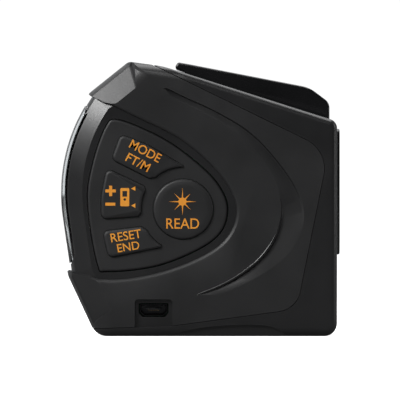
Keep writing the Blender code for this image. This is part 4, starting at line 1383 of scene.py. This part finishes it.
    def build(self) -> None:
        """Builds and delivers both skins."""
        x, _ = STYLE.socket
        corners = [(x - 5.3, -5, 0), (x - 5.3, 10.4, 1.0), (x + 5.3, 10.4, 1.0), (x + 5.3, -5, 0)]
        notch = rounded(corners, 6)
        right = self.skin("soft_skin_right", Side.RIGHT)
        right = combine(right, Operation.CUT, prism("notch", notch, -FAR, -18))
        deliver(right, SOFT_SKIN, "case", "right_overmold", crease=20)
        wells = [
            turned(f"well_{i}", [(0, 10), (2.3, 10), (2.3, FAR), (0, FAR)], Axis.Y, spot)
            for i, spot in enumerate(STYLE.screws)
        ]
        left = combine(self.skin("soft_skin_left", Side.LEFT), Operation.CUT, *wells)
        deliver(left, SOFT_SKIN, "case", "left_overmold", crease=20)
        for side in Side:
            deliver(self.bead(f"groove_bead_{side.name.lower()}", side), GLOSS_TRIM, "case")


# ---------------------------------------------------------------- keypad


@dataclass
class Keypad:
    """Rubber mat, its four keys and their print.

    Attributes:
        face: Y of the mat's face.
        key_face: Y of the keys' faces.
        centre: Middle of the measure key.
        radius: Its radius.
        lane: Width of the lane round it.
        side_keys: Corners of the other keys.
    """

    face: float = -22.1
    key_face: float = -23.0
    centre: Point = (-4.8, 35.6)
    radius: float = 8.5
    lane: float = 3.2
    side_keys: dict[str, list[Corner]] = field(default_factory=lambda: {
        "key_mode": [
            (-22.3, 56.7, 1.6), (-14.5, 53.6, 12), (-3.0, 46.8, 0.5), (-10.5, 42.2, 0.5), (-25.0, 49.5, 1.6),
        ],
        "key_reference": [
            (-26.3, 47.2, 1.6), (-12.0, 40.4, 0.5), (-12.0, 33.9, 0.5), (-27.8, 32.7, 1.6), (-27.9, 39, 9),
        ],
        "key_clear": [(-27.5, 29.5, 1.6), (-13.0, 31.2, 0.5), (-6.0, 25.8, 0.5), (-25.7, 21.9, 1.6)],
    })

    def crossing(self, outside: Vector, inside: Vector) -> tuple[Vector, Corner]:
        """Where a key's side meets the lane round the measure key, and the corner just before it.

        Args:
            outside: The side's end that stays.
            inside: Its end in the lane.

        Returns:
            The meeting point and the corner.
        """
        away, along = outside - Vector(self.centre), (inside - outside).normalized()
        b, c = away.dot(along), away.length_squared - (self.radius + self.lane) ** 2
        spot = outside + along * (-b - math.sqrt(b * b - c))
        return spot, (*(spot - along * 1.1), 0.32)

    def outline(self, name: str) -> list[Point]:
        """A side key's outline, with the lane round the measure key taken out of it.

        Args:
            name: Name of the key.

        Returns:
            The outline's points.
        """
        corners = self.side_keys[name]
        centre, lane = Vector(self.centre), self.radius + self.lane
        spots = [Vector(corner[:2]) for corner in corners]
        inside = [(spot - centre).length < lane for spot in spots]
        count = len(corners)
        first = next(i for i in range(count) if inside[i - 1] and not inside[i])
        order = [(first + k) % count for k in range(count)]
        kept = [corners[i] for i in order if not inside[i]]
        last = order[len(kept) - 1]
        enter, before = self.crossing(spots[last], spots[(last + 1) % count])
        leave, after = self.crossing(spots[first], spots[first - 1])
        ends = [math.atan2(spot.y - centre.y, spot.x - centre.x) for spot in (enter, leave)]
        sweep = (ends[1] - ends[0] + math.pi) % math.tau - math.pi
        trim = math.copysign(1.1 / lane, sweep)
        arc = [ends[0] + trim + (sweep - 2 * trim) * k / 10 for k in range(11)]
        radii = [0.32] + [0.0] * 9 + [0.32]
        lane_side = [
            (centre.x + lane * math.cos(t), centre.y + lane * math.sin(t), radius)
            for t, radius in zip(arc, radii)
        ]
        return rounded([*kept, before, *lane_side, after], 6)

    def build(self) -> None:
        """Builds and delivers the mat, the keys and the print on them."""
        outlines = {name: self.outline(name) for name in self.side_keys}
        outlines["key_measure"] = circle(self.centre, self.radius, 72)
        mat = pillow("keypad_mat_face", STYLE.mat, self.face, -20.4, 0.7)
        holes = [prism("key_hole", grown(outline, 0.1), -30, -10) for outline in outlines.values()]
        deliver(combine(mat, Operation.CUT, *holes), KEY_RUBBER, "case", "keypad_mat")
        bodies = {"key_mode": "mode_key", "key_reference": "reference_key", "key_clear": "clear_key"}
        for name, outline in outlines.items():
            round_key = name == "key_measure"
            cap = pillow(f"{name}_cap", outline, self.key_face, -19.6, 0.85, 0.12 if round_key else 0.0)
            deliver(cap, KEY_RUBBER, bodies.get(name, "measure_key"), name, crease=40)
        self.print_words()
        self.print_signs()

    def print_words(self) -> None:
        """Words on three of the keys."""
        face = self.key_face
        words = [
            ("word_mode", "MODE", 2.5, (-15.5, 51.75), -28, 0.95, "mode_key"),
            ("word_units", "FT/M", 2.5, (-17.5, 48.55), -28, 0.98, "mode_key"),
            ("word_reset", "RESET", 2.45, (-20.9, 28.0), 9, 0.95, "clear_key"),
            ("word_off", "END", 2.3, (-20.2, 24.95), 9, 0.98, "clear_key"),
            ("word_read", "READ", 2.9, (-5.0, 31.4), 0, 0.92, "measure_key"),
        ]
        for name, text, size, centre, angle, width, body in words:
            deliver(lettering(name, text, size, centre, face, angle, width), PRINT_ORANGE, body)

    def print_signs(self) -> None:
        """The laser star, plus and minus, and the reference sign."""
        low, high = self.key_face - 0.05, self.key_face + 0.05
        star: list[Point] = []
        for k in range(8):
            angle = math.tau * k / 8
            reach = 3.9 if k % 2 == 0 else 3.3
            star.append((reach * math.cos(angle), reach * math.sin(angle)))
            valley = angle + math.tau / 16
            star.append((0.62 * math.cos(valley), 0.62 * math.sin(valley)))
        rays = prism("sign_star", turned_points(star, 0.0, (-5.0, 37.7)), low, high)
        heart = prism("heart", circle((-5.0, 37.7), 1.15, 24), low - 0.01, high)
        deliver(combine(rays, Operation.JOIN, heart), PRINT_ORANGE, "measure_key")
        body = "reference_key"
        bars = {
            "sign_plus": [(-25.1, 40.7, 1.45, 0.42), (-25.1, 40.7, 0.42, 1.45)],
            "sign_minus": [(-25.2, 37.0, 1.4, 0.42)],
        }
        for name, boxes in bars.items():
            made = [
                block(name, (x - w, low, z - h), (x + w, high, z + h)) for x, z, w, h in boxes
            ]
            sign = made[0] if len(made) == 1 else combine(made[0], Operation.JOIN, made[1])
            sign.name = name
            deliver(sign, PRINT_ORANGE, body)
        frame_sign = prism(
            "sign_meter",
            rounded([(-22.4, 36.4, 0.3), (-22.4, 41.5, 0.3), (-19.9, 41.5, 0.3), (-19.9, 36.4, 0.3)], 3),
            low, high,
        )
        screen = block("screen", (-21.8, low - 1, 39.1), (-20.5, high + 1, 40.7))
        dot = prism("dot", circle((-21.15, 38.3), 0.36, 16), low - 1, high + 1)
        deliver(combine(frame_sign, Operation.CUT, screen, dot), PRINT_ORANGE, body)
        for name, z in (("sign_front", 41.35), ("sign_back", 36.6)):
            arrow = [(-18.2, z + 0.62), (-18.2, z - 0.62), (-19.4, z)]
            deliver(prism(name, arrow, low, high), PRINT_ORANGE, body)


# ---------------------------------------------------------------- display and charging socket


@dataclass
class Display:
    """Wrap-round window with the display behind it.

    Attributes:
        case: The shells, which give the window's place.
        lean: Backward tilt of the display cell, in degrees.
        cell: Half its thickness, width and height.
        digit: Width and height of a digit.
        pen: Half the width of a digit's bars.
        trim: How much shorter each bar is at its ends.
        reading: The figures shown.
    """

    case: HardCase
    lean: float = 5.0
    cell: Spot = (0.9, 15.0, 17.0)
    digit: Point = (3.6, 6.6)
    pen: float = 0.38
    trim: float = 0.55
    reading: str = "2350"

    def build(self) -> None:
        """Builds and delivers the window, the display's face and its figures."""
        window = self.case.window_solid("back_window", 0.9, 2.1, 0.0)
        edge = window.modifiers.new("edge", "BEVEL")
        edge.width = 0.5 * MM
        edge.segments = 4
        edge.limit_method = "ANGLE"
        edge.angle_limit = math.radians(50)
        window = plain(window)
        deliver(window, CLEAR_WINDOW, "case", "display_window", crease=40)
        low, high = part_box("lcd_panel")
        middle = (low + high) / 2 / MM
        tilt = Matrix.Rotation(math.radians(self.lean), 4, "Y")
        lean = Matrix.Translation(middle) @ tilt @ Matrix.Translation(-middle)
        x, y, z = self.cell
        low, high = (middle.x - x, -y, middle.z - z), (middle.x + x, y, middle.z + z)
        face = block("display_cell", low, high, 0.25)
        face.data.transform(Matrix.Scale(MM, 4) @ lean @ Matrix.Scale(1 / MM, 4))
        deliver(face, LCD_FACE, "case", "lcd_panel")
        figures = self.figures(middle)
        figures.data.transform(Matrix.Scale(MM, 4) @ lean @ Matrix.Scale(1 / MM, 4))
        deliver(figures, LCD_INK, "case")
        carry(NATURAL_NYLON, "lcd_frame")
        carry(WARM_BRASS, "lcd_flex")

    def figures(self, middle: Vector) -> bpy.types.Object:
        """Seven-segment figures, a decimal point and a level bar.

        Args:
            middle: Middle of the display cell, in millimetres.

        Returns:
            The figures in one mesh.
        """
        wide, tall = self.digit
        lit = {"2": "abged", "3": "abgcd", "5": "afgcd", "0": "abcdef"}
        bars = {
            "a": (0, tall, wide, 0), "g": (0, tall / 2, wide, 0), "d": (0, 0, wide, 0),
            "f": (0, tall / 2, 0, tall / 2), "b": (wide, tall / 2, 0, tall / 2),
            "e": (0, 0, 0, tall / 2), "c": (wide, 0, 0, tall / 2),
        }
        built = bmesh.new()
        x = middle.x - 0.93
        start = 10.5

        def bar(y0: float, z0: float, y1: float, z1: float) -> None:
            """Adds one printed bar between two corners.

            Args:
                y0: Y of the first corner.
                z0: Its height.
                y1: Y of the other corner.
                z1: Its height.
            """
            made = bmesh.ops.create_cube(built, size=1.0)["verts"]
            for vertex in made:
                vertex.co = Vector((
                    x + vertex.co.x * 0.04,
                    (y0 + y1) / 2 + vertex.co.y * (abs(y1 - y0) + self.pen * 2),
                    (z0 + z1) / 2 + vertex.co.z * (abs(z1 - z0) + self.pen * 2),
                )) * MM

        for row, base in enumerate((middle.z + 3.0, middle.z - 8.0)):
            for k, figure in enumerate(self.reading if row == 0 else self.reading[::-1]):
                left = start - k * (wide + 2.0)
                for key in lit[figure]:
                    u, v, w, h = bars[key]
                    du, dv = (self.trim, 0) if w else (0, self.trim)
                    bar(left - u - du, base + v + dv, left - u - w + du, base + v + h - dv)
            point = start - wide - 1.0
            bar(point - 0.1, base, point + 0.1, base)
        for k in range(4):
            bar(10.0 - k * 1.6, middle.z + 13.0, 10.4 - k * 1.6, middle.z + 13.0 + 0.4 * k)
        return mesh_object("display_figures", built)


@dataclass
class ChargingSocket:
    """Charging socket with its tongue and contacts.

    Attributes:
        half: Half the shell's width.
        tall: Half its height.
        wall: Wall of its shell.
        mouth: Y of its mouth.
    """

    half: float = 3.8
    tall: float = 1.6
    wall: float = 0.35
    mouth: float = -21.35

    def ring(self, shrink: float) -> list[Point]:
        """The socket's outline with its lower corners cut.

        Args:
            shrink: How much smaller it is on each side.

        Returns:
            The outline.
        """
        x, z = STYLE.socket
        w, h = self.half - shrink, self.tall - shrink
        cut = 1.1 - shrink * 0.4
        corners = [(x - w, z - h + cut, 0.3), (x - w, z + h, 0.45), (x + w, z + h, 0.45)]
        corners += [(x + w, z - h + cut, 0.3), (x + w - cut, z - h, 0.3), (x - w + cut, z - h, 0.3)]
        return rounded(corners, 4)

    def build(self) -> None:
        """Builds and delivers the socket, its tongue and its contacts."""
        x, z = STYLE.socket
        shell = prism("socket_shell", self.ring(0.0), self.mouth, -16.0)
        flare = tapered(
            "flare", [(-16.6, self.ring(self.wall)), (self.mouth + 0.5, self.ring(self.wall)),
                      (self.mouth - 0.1, self.ring(self.wall * 0.3))]
        )
        # The socket shell gets near-black metal, painted shade for the inside of its opening.
        deliver(combine(shell, Operation.CUT, flare), SOCKET_PAINTED_SHADE, "case", "usb_socket")
        low, high = (x - 2.0, self.mouth + 0.9, z - 0.1), (x + 2.0, -16.65, z + 0.55)
        tongue = block("socket_tongue", low, high, 0.12)
        deliver(tongue, GLOSS_TRIM, "case")
        tree = NodePiece("contact_row")
        count = tree.size("Contacts", "Int", 5)
        pitch = tree.size("Pitch", "Vector", (0.65 * MM, 0.0, 0.0))
        size = tree.size("Size", "Vector", (0.32 * MM, 3.2 * MM, 0.06 * MM))
        first = tree.size("First", "Vector", ((x - 1.3) * MM, -18.6 * MM, (z - 0.12) * MM))
        line = tree.node("GeometryNodeMeshLine", {"Count": count, "Start Location": first, "Offset": pitch})
        bar = tree.node("GeometryNodeMeshCube", {"Size": size})
        row = tree.node(
            "GeometryNodeInstanceOnPoints", {"Points": line.outputs[0], "Instance": bar.outputs[0]}
        )
        deliver(tree.run(row.outputs[0], WARM_BRASS.material(), "socket_contacts"), WARM_BRASS, "case")


# ---------------------------------------------------------------- front: optics, tape and hook


@dataclass
class FrontEnd:
    """Front panel with its windows and the optics behind them."""

    def build(self) -> None:
        """Builds and delivers the panel and its windows, and dresses the optics."""
        low, high = (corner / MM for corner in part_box("front_panel"))
        corners = [(low.y, low.z, 2.0), (low.y, high.z, 2.0), (high.y, high.z, 2.0), (high.y, low.z, 2.0)]
        outline = rounded(corners, 8)
        stages = [(low.x, outline), (high.x - 0.4, outline), (high.x - 0.12, grown(outline, -0.12))]
        panel = tapered("aperture_panel", [*stages, (high.x, grown(outline, -0.4))], Axis.X)
        cutters = []
        for name in ("receiver_window", "emitter_window"):
            wlow, whigh = (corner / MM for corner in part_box(name))
            radius = (whigh.z - wlow.z) / 2
            centre = (0.0, (whigh.z + wlow.z) / 2)
            cutters.append(
                turned(name + "_hole", [(0, 30), (radius + 0.25, 30), (radius + 0.25, high.x - 0.45),
                                        (radius + 0.9, high.x + 0.2), (0, high.x + 0.2)], Axis.X, centre, 64)
            )
            top = whigh.x - 0.02
            profile = [(0, wlow.x), (radius, wlow.x), (radius, top - 0.15), (radius - 0.15, top), (0, top)]
            finish = LENS_GLASS if name == "receiver_window" else CLEAR_WINDOW
            deliver(turned(name + "_pane", profile, Axis.X, centre, 64), finish, "case", name)
        deliver(combine(panel, Operation.CUT, *cutters), GLOSS_TRIM, "case", "front_panel")
        carry(SATIN_SHELL, "optics_chassis")
        carry(LENS_GLASS, "receiver_lens", "collimator_lens")
        carry(WARM_BRASS, "collimator_barrel", "laser_diode")
        carry(PLATED_STEEL, "photodetector")
        carry(BOARD_RESIST, "detector_board")


@dataclass
class TapeEnd:
    """Straight end of the steel tape with its print, rivets and hook.

    Attributes:
        width: Width of the tape.
        trough: Depth of its hollow.
        thick: Its thickness.
        bottom: Z of its underside at the middle.
    """

    width: float = 19.0
    trough: float = 2.4
    thick: float = 0.4
    bottom: float = 8.3

    def hollowed(self, tree: NodePiece, geometry: bpy.types.NodeSocket) -> bpy.types.NodeSocket:
        """Bends a flat geometry into the tape's hollow, which grows from the drum to the mouth.

        Args:
            tree: The tree that is being built.
            geometry: The flat geometry.

        Returns:
            The bent geometry.
        """
        start = tree.size("Hollow Start", "Float", -5.3 * MM)
        end = tree.size("Hollow End", "Float", 10.7 * MM)
        deep = tree.size("Hollow Depth", "Float", self.trough * MM)
        half = tree.size("Half Width", "Float", self.width / 2 * MM)
        split = tree.node("ShaderNodeSeparateXYZ", {0: tree.node("GeometryNodeInputPosition").outputs[0]})
        along = tree.node(
            "ShaderNodeMapRange",
            {"Value": split.outputs["X"], "From Min": start, "From Max": end},
            interpolation_type="SMOOTHSTEP",
        )
        across = tree.node("ShaderNodeMath", {0: split.outputs["Y"], 1: half}, operation="DIVIDE")
        square = tree.node(
            "ShaderNodeMath", {0: across.outputs[0], 1: across.outputs[0]}, operation="MULTIPLY"
        )
        lift = tree.node("ShaderNodeMath", {0: square.outputs[0], 1: along.outputs[0]}, operation="MULTIPLY")
        rise = tree.node("ShaderNodeMath", {0: lift.outputs[0], 1: deep}, operation="MULTIPLY")
        offset = tree.node("ShaderNodeCombineXYZ", {"Z": rise.outputs[0]})
        bent = tree.node("GeometryNodeSetPosition", {"Geometry": geometry, "Offset": offset.outputs[0]})
        return bent.outputs[0]

    def build(self) -> None:
        """Builds and delivers the tape, its print, the rivets and the hook."""
        low, high = (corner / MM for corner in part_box("tape_blade"))
        tree = NodePiece("tape_sheet")
        size = tree.size("Size", "Vector", Vector((high.x - low.x, self.width, self.thick)) * MM)
        centre = Vector(((low.x + high.x) / 2, 0, self.bottom + self.thick / 2))
        middle = tree.size("Middle", "Vector", centre * MM)
        sheet = tree.node("GeometryNodeMeshCube", {"Size": size, "Vertices X": 46, "Vertices Y": 21})
        moved = tree.node("GeometryNodeTransform", {"Geometry": sheet.outputs[0], "Translation": middle})
        tape = tree.run(self.hollowed(tree, moved.outputs[0]), TAPE_LACQUER.material(), "tape_strip")
        deliver(tape, TAPE_LACQUER, "blade", "tape_blade")
        self.ticks("tape_ticks_fine", 1.0, 2.2, 0.16, low.x, high.x - 1.0)
        self.ticks("tape_ticks_five", 5.0, 3.6, 0.22, low.x, high.x - 1.0)
        self.ticks("tape_ticks_ten", 10.0, 5.6, 0.30, low.x, high.x - 1.0)
        self.hook()

    def ticks(self, name: str, pitch: float, length: float, line: float, start: float, end: float) -> None:
        """Prints graduation lines along one edge of the tape.

        Args:
            name: Name of the piece.
            pitch: Distance between lines.
            length: Length of a line.
            line: Thickness of a line.
            start: X where the tape starts.
            end: X of the line nearest the hook.
        """
        count = int((end - start) / pitch)
        tree = NodePiece(name + "_tree")
        number = tree.size("Lines", "Int", count)
        step = tree.size("Pitch", "Vector", Vector((-pitch, 0, 0)) * MM)
        size = tree.size("Line Size", "Vector", Vector((line, length, 0.03)) * MM)
        first = Vector((end, -self.width / 2 + 0.25 + length / 2, self.bottom + self.thick + 0.012))
        place = tree.size("First Line", "Vector", first * MM)
        row = tree.node("GeometryNodeMeshLine", {"Count": number, "Start Location": place, "Offset": step})
        bar = tree.node("GeometryNodeMeshCube", {"Size": size, "Vertices Y": 7})
        lines = tree.node(
            "GeometryNodeInstanceOnPoints", {"Points": row.outputs[0], "Instance": bar.outputs[0]}
        )
        real = tree.node("GeometryNodeRealizeInstances", {0: lines.outputs[0]})
        result = tree.run(self.hollowed(tree, real.outputs[0]), TAPE_INK.material(), name)
        deliver(result, TAPE_INK, "blade")

    def hook(self) -> None:
        """Hook with a folded tab, and its two domed rivets."""
        low, high = (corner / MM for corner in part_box("end_hook"))
        tab_top = 10.96
        corners = [(low.y, low.z, 1.5), (low.y, high.z, 1.0), (high.y, high.z, 1.0), (high.y, low.z, 1.5)]
        plate = rounded(corners, 6)
        stages = [(high.x - 1.0, plate), (high.x - 0.25, plate), (high.x, grown(plate, -0.25))]
        hook = tapered("hook_plate", stages, Axis.X)
        tab = block("tab", (low.x, -6, tab_top - 1.0), (high.x - 0.3, 6, tab_top), 0.2)
        hook = combine(hook, Operation.JOIN, tab)
        slots = []
        for i in (1, 2):
            rlow, rhigh = (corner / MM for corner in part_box(f"hook_rivet_{i}"))
            middle = (rlow.x + rhigh.x) / 2
            ends = [(middle - 2.2, -1.2, 1.15), (middle - 2.2, 1.2, 1.15)]
            ends += [(middle + 1.2, 1.2, 1.15), (middle + 1.2, -1.2, 1.15)]
            slots.append(prism("slot", rounded(ends, 8), 9, 12, Axis.Z))
            profile = [(0, rhigh.z), (0.7, rhigh.z - 0.08), (1.4, rhigh.z - 0.3), (1.75, rhigh.z - 0.58)]
            profile += [(0.9, rhigh.z - 0.6), (0.9, rlow.z + 0.6), (1.7, rlow.z + 0.6)]
            profile += [(1.5, rlow.z + 0.15), (0, rlow.z)]
            rivet = turned(f"rivet_{i}", profile, Axis.Z, (middle, 0.0), 32)
            deliver(rivet, PLATED_STEEL, "blade", f"hook_rivet_{i}")
        deliver(combine(hook, Operation.CUT, *slots), PLATED_STEEL, "hook", "end_hook")
        carry(PAD_RUBBER, "hook_bumper")


# ---------------------------------------------------------------- lock lever, clip and inside


@dataclass
class BladeLock:
    """Thumb lever with its brake arm.

    Attributes:
        half: Half the lever's width.
        edge: Rounding of its edges.
        arc: Upper line of the lever from its lip to its front.
    """

    half: float = 10.0
    edge: float = 0.6
    arc: tuple[Corner, ...] = (
        (-7.4, 75.35, 0.7), (-6.3, 77.0, 0.7), (-3.4, 76.5, 3.0), (30.7, 69.9, 9.0), (36.4, 65.6, 3.0),
    )

    def build(self) -> None:
        """Builds and delivers the lever and dresses its pad and pin."""
        back, tip = -4.0, 36.4
        corners = [*self.arc, (tip, FORM.top(tip) - 1.6, 0.6), (back, FORM.top(back) - 1.6, 0.3)]
        corners.append((back, FORM.top(back) + 0.5, 1.2))
        outline = rounded(corners, 8)
        lid = shrunk(outline, self.edge + 0.15)
        stages = [(-self.half, lid)]
        turns = [math.pi / 2 * k / 5 for k in range(6)]
        for side in (-1, 1):
            for angle in reversed(turns) if side < 0 else turns:
                y = side * (self.half - self.edge * (1 - math.sin(angle)))
                shrink = self.edge * (1 - math.cos(angle))
                ring = shrunk(outline, shrink) if shrink else outline
                stages.append((y, ring))
        lever = tapered("thumb_lever", [*stages, (self.half, lid)])
        self.arm()
        deliver(lever, GLOSS_TRIM, "lock", "lock_lever", crease=38)
        carry(PAD_RUBBER, "brake_pad")
        carry(PLATED_STEEL, "lever_pin")

    def arm(self) -> None:
        """Builds and delivers the arm under the lever, its plate over the brake pad and its hinge lugs."""
        reel, out = Vector((-8.3, 29.0)), math.radians(50)
        along, across = Vector((math.cos(out), math.sin(out))), Vector((-math.sin(out), math.cos(out)))
        near, far = 26.15, 27.9
        rim = ((near, -3.1), (near, 3.1), (far, 3.1), (far, -3.1))
        plate = [reel + along * reach + across * over for reach, over in rim]
        foot = reel + along * (near + 1.0)
        leg = [(foot.x - 1.8, foot.y), (foot.x + 1.8, foot.y)]
        leg += [(u, FORM.top(u) - 1.4) for u in (foot.x + 2.6, foot.x - 1.2)]
        arm = combine(
            prism("lock_arm", leg, -3.9, 3.9),
            Operation.JOIN,
            prism("plate", [tuple(spot) for spot in plate], -10.2, 10.2),
        )
        deliver(arm, SATIN_SHELL, "lock")
        pin = tuple(v / MM for v in ((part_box("lever_pin")[0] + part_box("lever_pin")[1]) / 2).xz)
        ring = [(1.25, -9.4), (1.25, 9.4), (2.25, 9.4), (2.25, -9.4)]
        deliver(turned("hinge_lug", ring, Axis.Y, pin, 32), SATIN_SHELL, "lock")


@dataclass
class BeltClip:
    """Sprung clip on the far side: a flat strip swept along its bends.

    Attributes:
        width: Width of the strip.
        thick: Its thickness.
        bend: Inner radius of the bends.
    """

    width: float = 18.0
    thick: float = 1.2
    bend: float = 3.0

    def build(self) -> None:
        """Builds and delivers the clip and its screw."""
        x, z = STYLE.clip_screw
        seat, out, bottom = 23.9, 28.5, 14.0
        path = [(seat, z + 6.0), (seat, z - 6.8), (out, z - 13.6), (out, bottom + 7.0)]
        path += [(out - 0.9, bottom + 4.6), (out + 1.2, bottom)]
        wire = bmesh.new()
        spots = [wire.verts.new(Vector((x, y, height)) * MM) for y, height in path]
        for a, b in zip(spots, spots[1:]):
            wire.edges.new((a, b))
        source = mesh_object("clip_wire", wire)
        tree = NodePiece("clip_strip")
        wide = tree.size("Width", "Float", self.width * MM)
        thick = tree.size("Thickness", "Float", self.thick * MM)
        radius = tree.size("Bend", "Float", self.bend * MM)
        line = tree.node("GeometryNodeMeshToCurve", {0: tree.source.outputs[0]})
        bent = tree.node(
            "GeometryNodeFilletCurve", {"Curve": line.outputs[0], "Radius": radius, "Count": 8}, mode="POLY"
        )
        band = tree.node("GeometryNodeCurvePrimitiveQuadrilateral", {"Width": wide, "Height": thick})
        eased = tree.node(
            "GeometryNodeFilletCurve", {"Curve": band.outputs[0], "Radius": 0.3 * MM, "Count": 3}, mode="POLY"
        )
        swept = tree.node(
            "GeometryNodeCurveToMesh",
            {"Curve": bent.outputs[0], "Profile Curve": eased.outputs[0], "Fill Caps": True},
        )
        clip = tree.run(swept.outputs[0], SPRING_STEEL.material(), "clip_strip", source)
        hole = turned("hole", [(0, 15), (1.5, 15), (1.5, 30), (0, 30)], Axis.Y, STYLE.clip_screw)
        deliver(combine(clip, Operation.CUT, hole), SPRING_STEEL, "case", "belt_clip")
        head = [(0, 25.75), (1.2, 25.72), (2.3, 25.45), (2.95, 24.9), (3.0, 24.62)]
        profile = head + [(1.15, 24.62), (1.15, 19.0), (0, 18.7)]
        screw = turned("clip_screw_head", profile, Axis.Y, STYLE.clip_screw, 40)
        slots = [
            block("cross", (x - w, 25.1, z - h), (x + w, 27, z + h)) for w, h in ((1.5, 0.28), (0.28, 1.5))
        ]
        deliver(combine(screw, Operation.CUT, *slots), PLATED_STEEL, "case", "clip_screw")


def dress_inside() -> None:
    """Finishes of the pieces that stay as the frame has them."""
    carry(SPRING_STEEL, "dome_switch_1", "dome_switch_2", "dome_switch_3", "dome_switch_4", "power_spring")
    carry(BOARD_RESIST, "main_board")
    carry(SATIN_SHELL, "processor_chip")
    carry(FOIL, "battery")
    carry(PAD_RUBBER, "battery_lead")
    carry(NATURAL_NYLON, "tape_drum")
    carry(TAPE_LACQUER, "tape_coil")
    carry(PLATED_STEEL, "drum_arbor")


# ---------------------------------------------------------------- studio


@dataclass
class Studio:
    """Pale floor, soft light and the camera.

    Attributes:
        lens: Focal length.
        span: Width of the view at the keypad side, in millimetres.
        aim: Middle of the view, as (x, z).
        backdrop: Direction of the brightest part of the surround.
        dim: Strength of the surround in front.
        bright: Its strength at the brightest part.
        heart: What the lights point at, in metres.
        lights: Place of each light in metres, its width, its height and its power in watts.
        paper_glow: Glow of the floor's paper in its bounced light and in the camera's view.
        paper_tone: Its base colour in the same two.
    """

    lens: float = 600.0
    span: float = 112.0
    aim: Point = (-0.1, 38.16)
    backdrop: Spot = (-0.55, 0.75, 0.35)
    dim: float = 0.045
    bright: float = 0.8
    heart: Spot = (0.0, 0.0, 0.04)
    lights: dict[str, tuple[Spot, float, float, float]] = field(default_factory=lambda: {
        "top_light": ((0.0, 0.2, 0.95), 0.9, 0.8, 8.0),
        "left_light": ((-0.63, -0.555, 0.585), 0.3, 0.3, 6.0),
        "right_light": ((0.98, -0.1, 0.3), 0.25, 0.8, 2.0),
        "front_light": ((-0.3, -1.25, 1.0), 0.8, 0.5, 5.0),
    })
    paper_glow: Point = (0.02, 0.94)
    paper_tone: Point = (0.2, 0.8)

    def build(self) -> None:
        """Builds the floor, the lights and the camera."""
        floor = bmesh.new()
        bmesh.ops.create_grid(floor, x_segments=1, y_segments=1, size=4.0)
        stage = mesh_object("floor", floor)
        stage.data.materials.append(self.paper())
        self.world()
        for name, (place, width, height, power) in self.lights.items():
            self.softbox(name, place, self.heart, width, height, power)
        data = bpy.data.cameras.new("camera")
        data.lens = self.lens
        data.sensor_width = 36.0
        data.clip_start = 0.05
        camera = bpy.data.objects.new("camera", data)
        bpy.context.scene.collection.objects.link(camera)
        away = self.span * self.lens / 36.0
        camera.location = Vector((self.aim[0], -FORM.half + 1 - away, self.aim[1])) * MM
        camera.rotation_euler = (math.pi / 2, 0, 0)
        bpy.context.scene.camera = camera
        bpy.context.scene.view_settings.view_transform = "Standard"

    def paper(self) -> bpy.types.Material:
        """The floor's plain paper, which looks brighter than the light that it throws back.

        Returns:
            The material.
        """
        made = bpy.data.materials.new("paper")
        made.use_nodes = True
        nodes, links = made.node_tree.nodes, made.node_tree.links
        shader = nodes["Principled BSDF"]
        shader.inputs["Roughness"].default_value = 0.9
        shader.inputs["Specular IOR Level"].default_value = 0.0
        shader.inputs["Emission Color"].default_value = (1, 1, 1, 1)
        path = nodes.new("ShaderNodeLightPath")
        for (bounced, seen), key in (
            (self.paper_glow, "Emission Strength"), (self.paper_tone, "Base Color")
        ):
            level = nodes.new("ShaderNodeMapRange")
            level.inputs["To Min"].default_value = bounced
            level.inputs["To Max"].default_value = seen
            links.new(path.outputs["Is Camera Ray"], level.inputs["Value"])
            links.new(level.outputs[0], shader.inputs[key])
        return made

    def world(self) -> None:
        """A white surround, bright behind the object and dim in front of it."""
        world = bpy.data.worlds.new("surround")
        bpy.context.scene.world = world
        world.use_nodes = True
        nodes, links = world.node_tree.nodes, world.node_tree.links
        nodes.clear()
        seen = nodes.new("ShaderNodeBackground")
        seen.inputs["Color"].default_value = (1, 1, 1, 1)
        seen.inputs["Strength"].default_value = 1.05
        fill = nodes.new("ShaderNodeBackground")
        fill.inputs["Color"].default_value = (0.96, 0.98, 1.0, 1)
        facing = nodes.new("ShaderNodeTexCoord")
        behind = nodes.new("ShaderNodeVectorMath")
        behind.operation = "DOT_PRODUCT"
        behind.inputs[1].default_value = self.backdrop
        links.new(facing.outputs["Generated"], behind.inputs[0])
        level = nodes.new("ShaderNodeMapRange")
        level.inputs["From Min"].default_value = -0.1
        level.inputs["From Max"].default_value = 0.8
        level.inputs["To Min"].default_value = self.dim
        level.inputs["To Max"].default_value = self.bright
        links.new(behind.outputs["Value"], level.inputs["Value"])
        links.new(level.outputs[0], fill.inputs["Strength"])
        path = nodes.new("ShaderNodeLightPath")
        mix = nodes.new("ShaderNodeMixShader")
        result = nodes.new("ShaderNodeOutputWorld")
        links.new(path.outputs["Is Camera Ray"], mix.inputs[0])
        links.new(fill.outputs[0], mix.inputs[1])
        links.new(seen.outputs[0], mix.inputs[2])
        links.new(mix.outputs[0], result.inputs[0])

    def softbox(self, name: str, place: Spot, aim: Spot, width: float, height: float, power: float) -> None:
        """One rectangular soft light.

        Args:
            name: Name of the light.
            place: Where it stands, in metres.
            aim: What it points at.
            width: Its width.
            height: Its height.
            power: Its power in watts.
        """
        data = bpy.data.lights.new(name, "AREA")
        data.shape = "RECTANGLE"
        data.size, data.size_y = width, height
        data.energy = power
        light = bpy.data.objects.new(name, data)
        bpy.context.scene.collection.objects.link(light)
        light.location = place
        light.rotation_euler = (Vector(aim) - Vector(place)).to_track_quat("-Z", "Y").to_euler()


def main() -> None:
    """Builds every sub-assembly in order."""
    logging.basicConfig(level=logging.INFO, format="%(message)s")
    Studio().build()
    case = HardCase()
    builders: list[Callable[[], None]] = [
        case.build,
        SoftSkin().build,
        Keypad().build,
        Display(case).build,
        ChargingSocket().build,
        FrontEnd().build,
        TapeEnd().build,
        BladeLock().build,
        BeltClip().build,
        dress_inside,
    ]
    for builder in builders:
        builder()


if __name__ == "__main__":
    main()
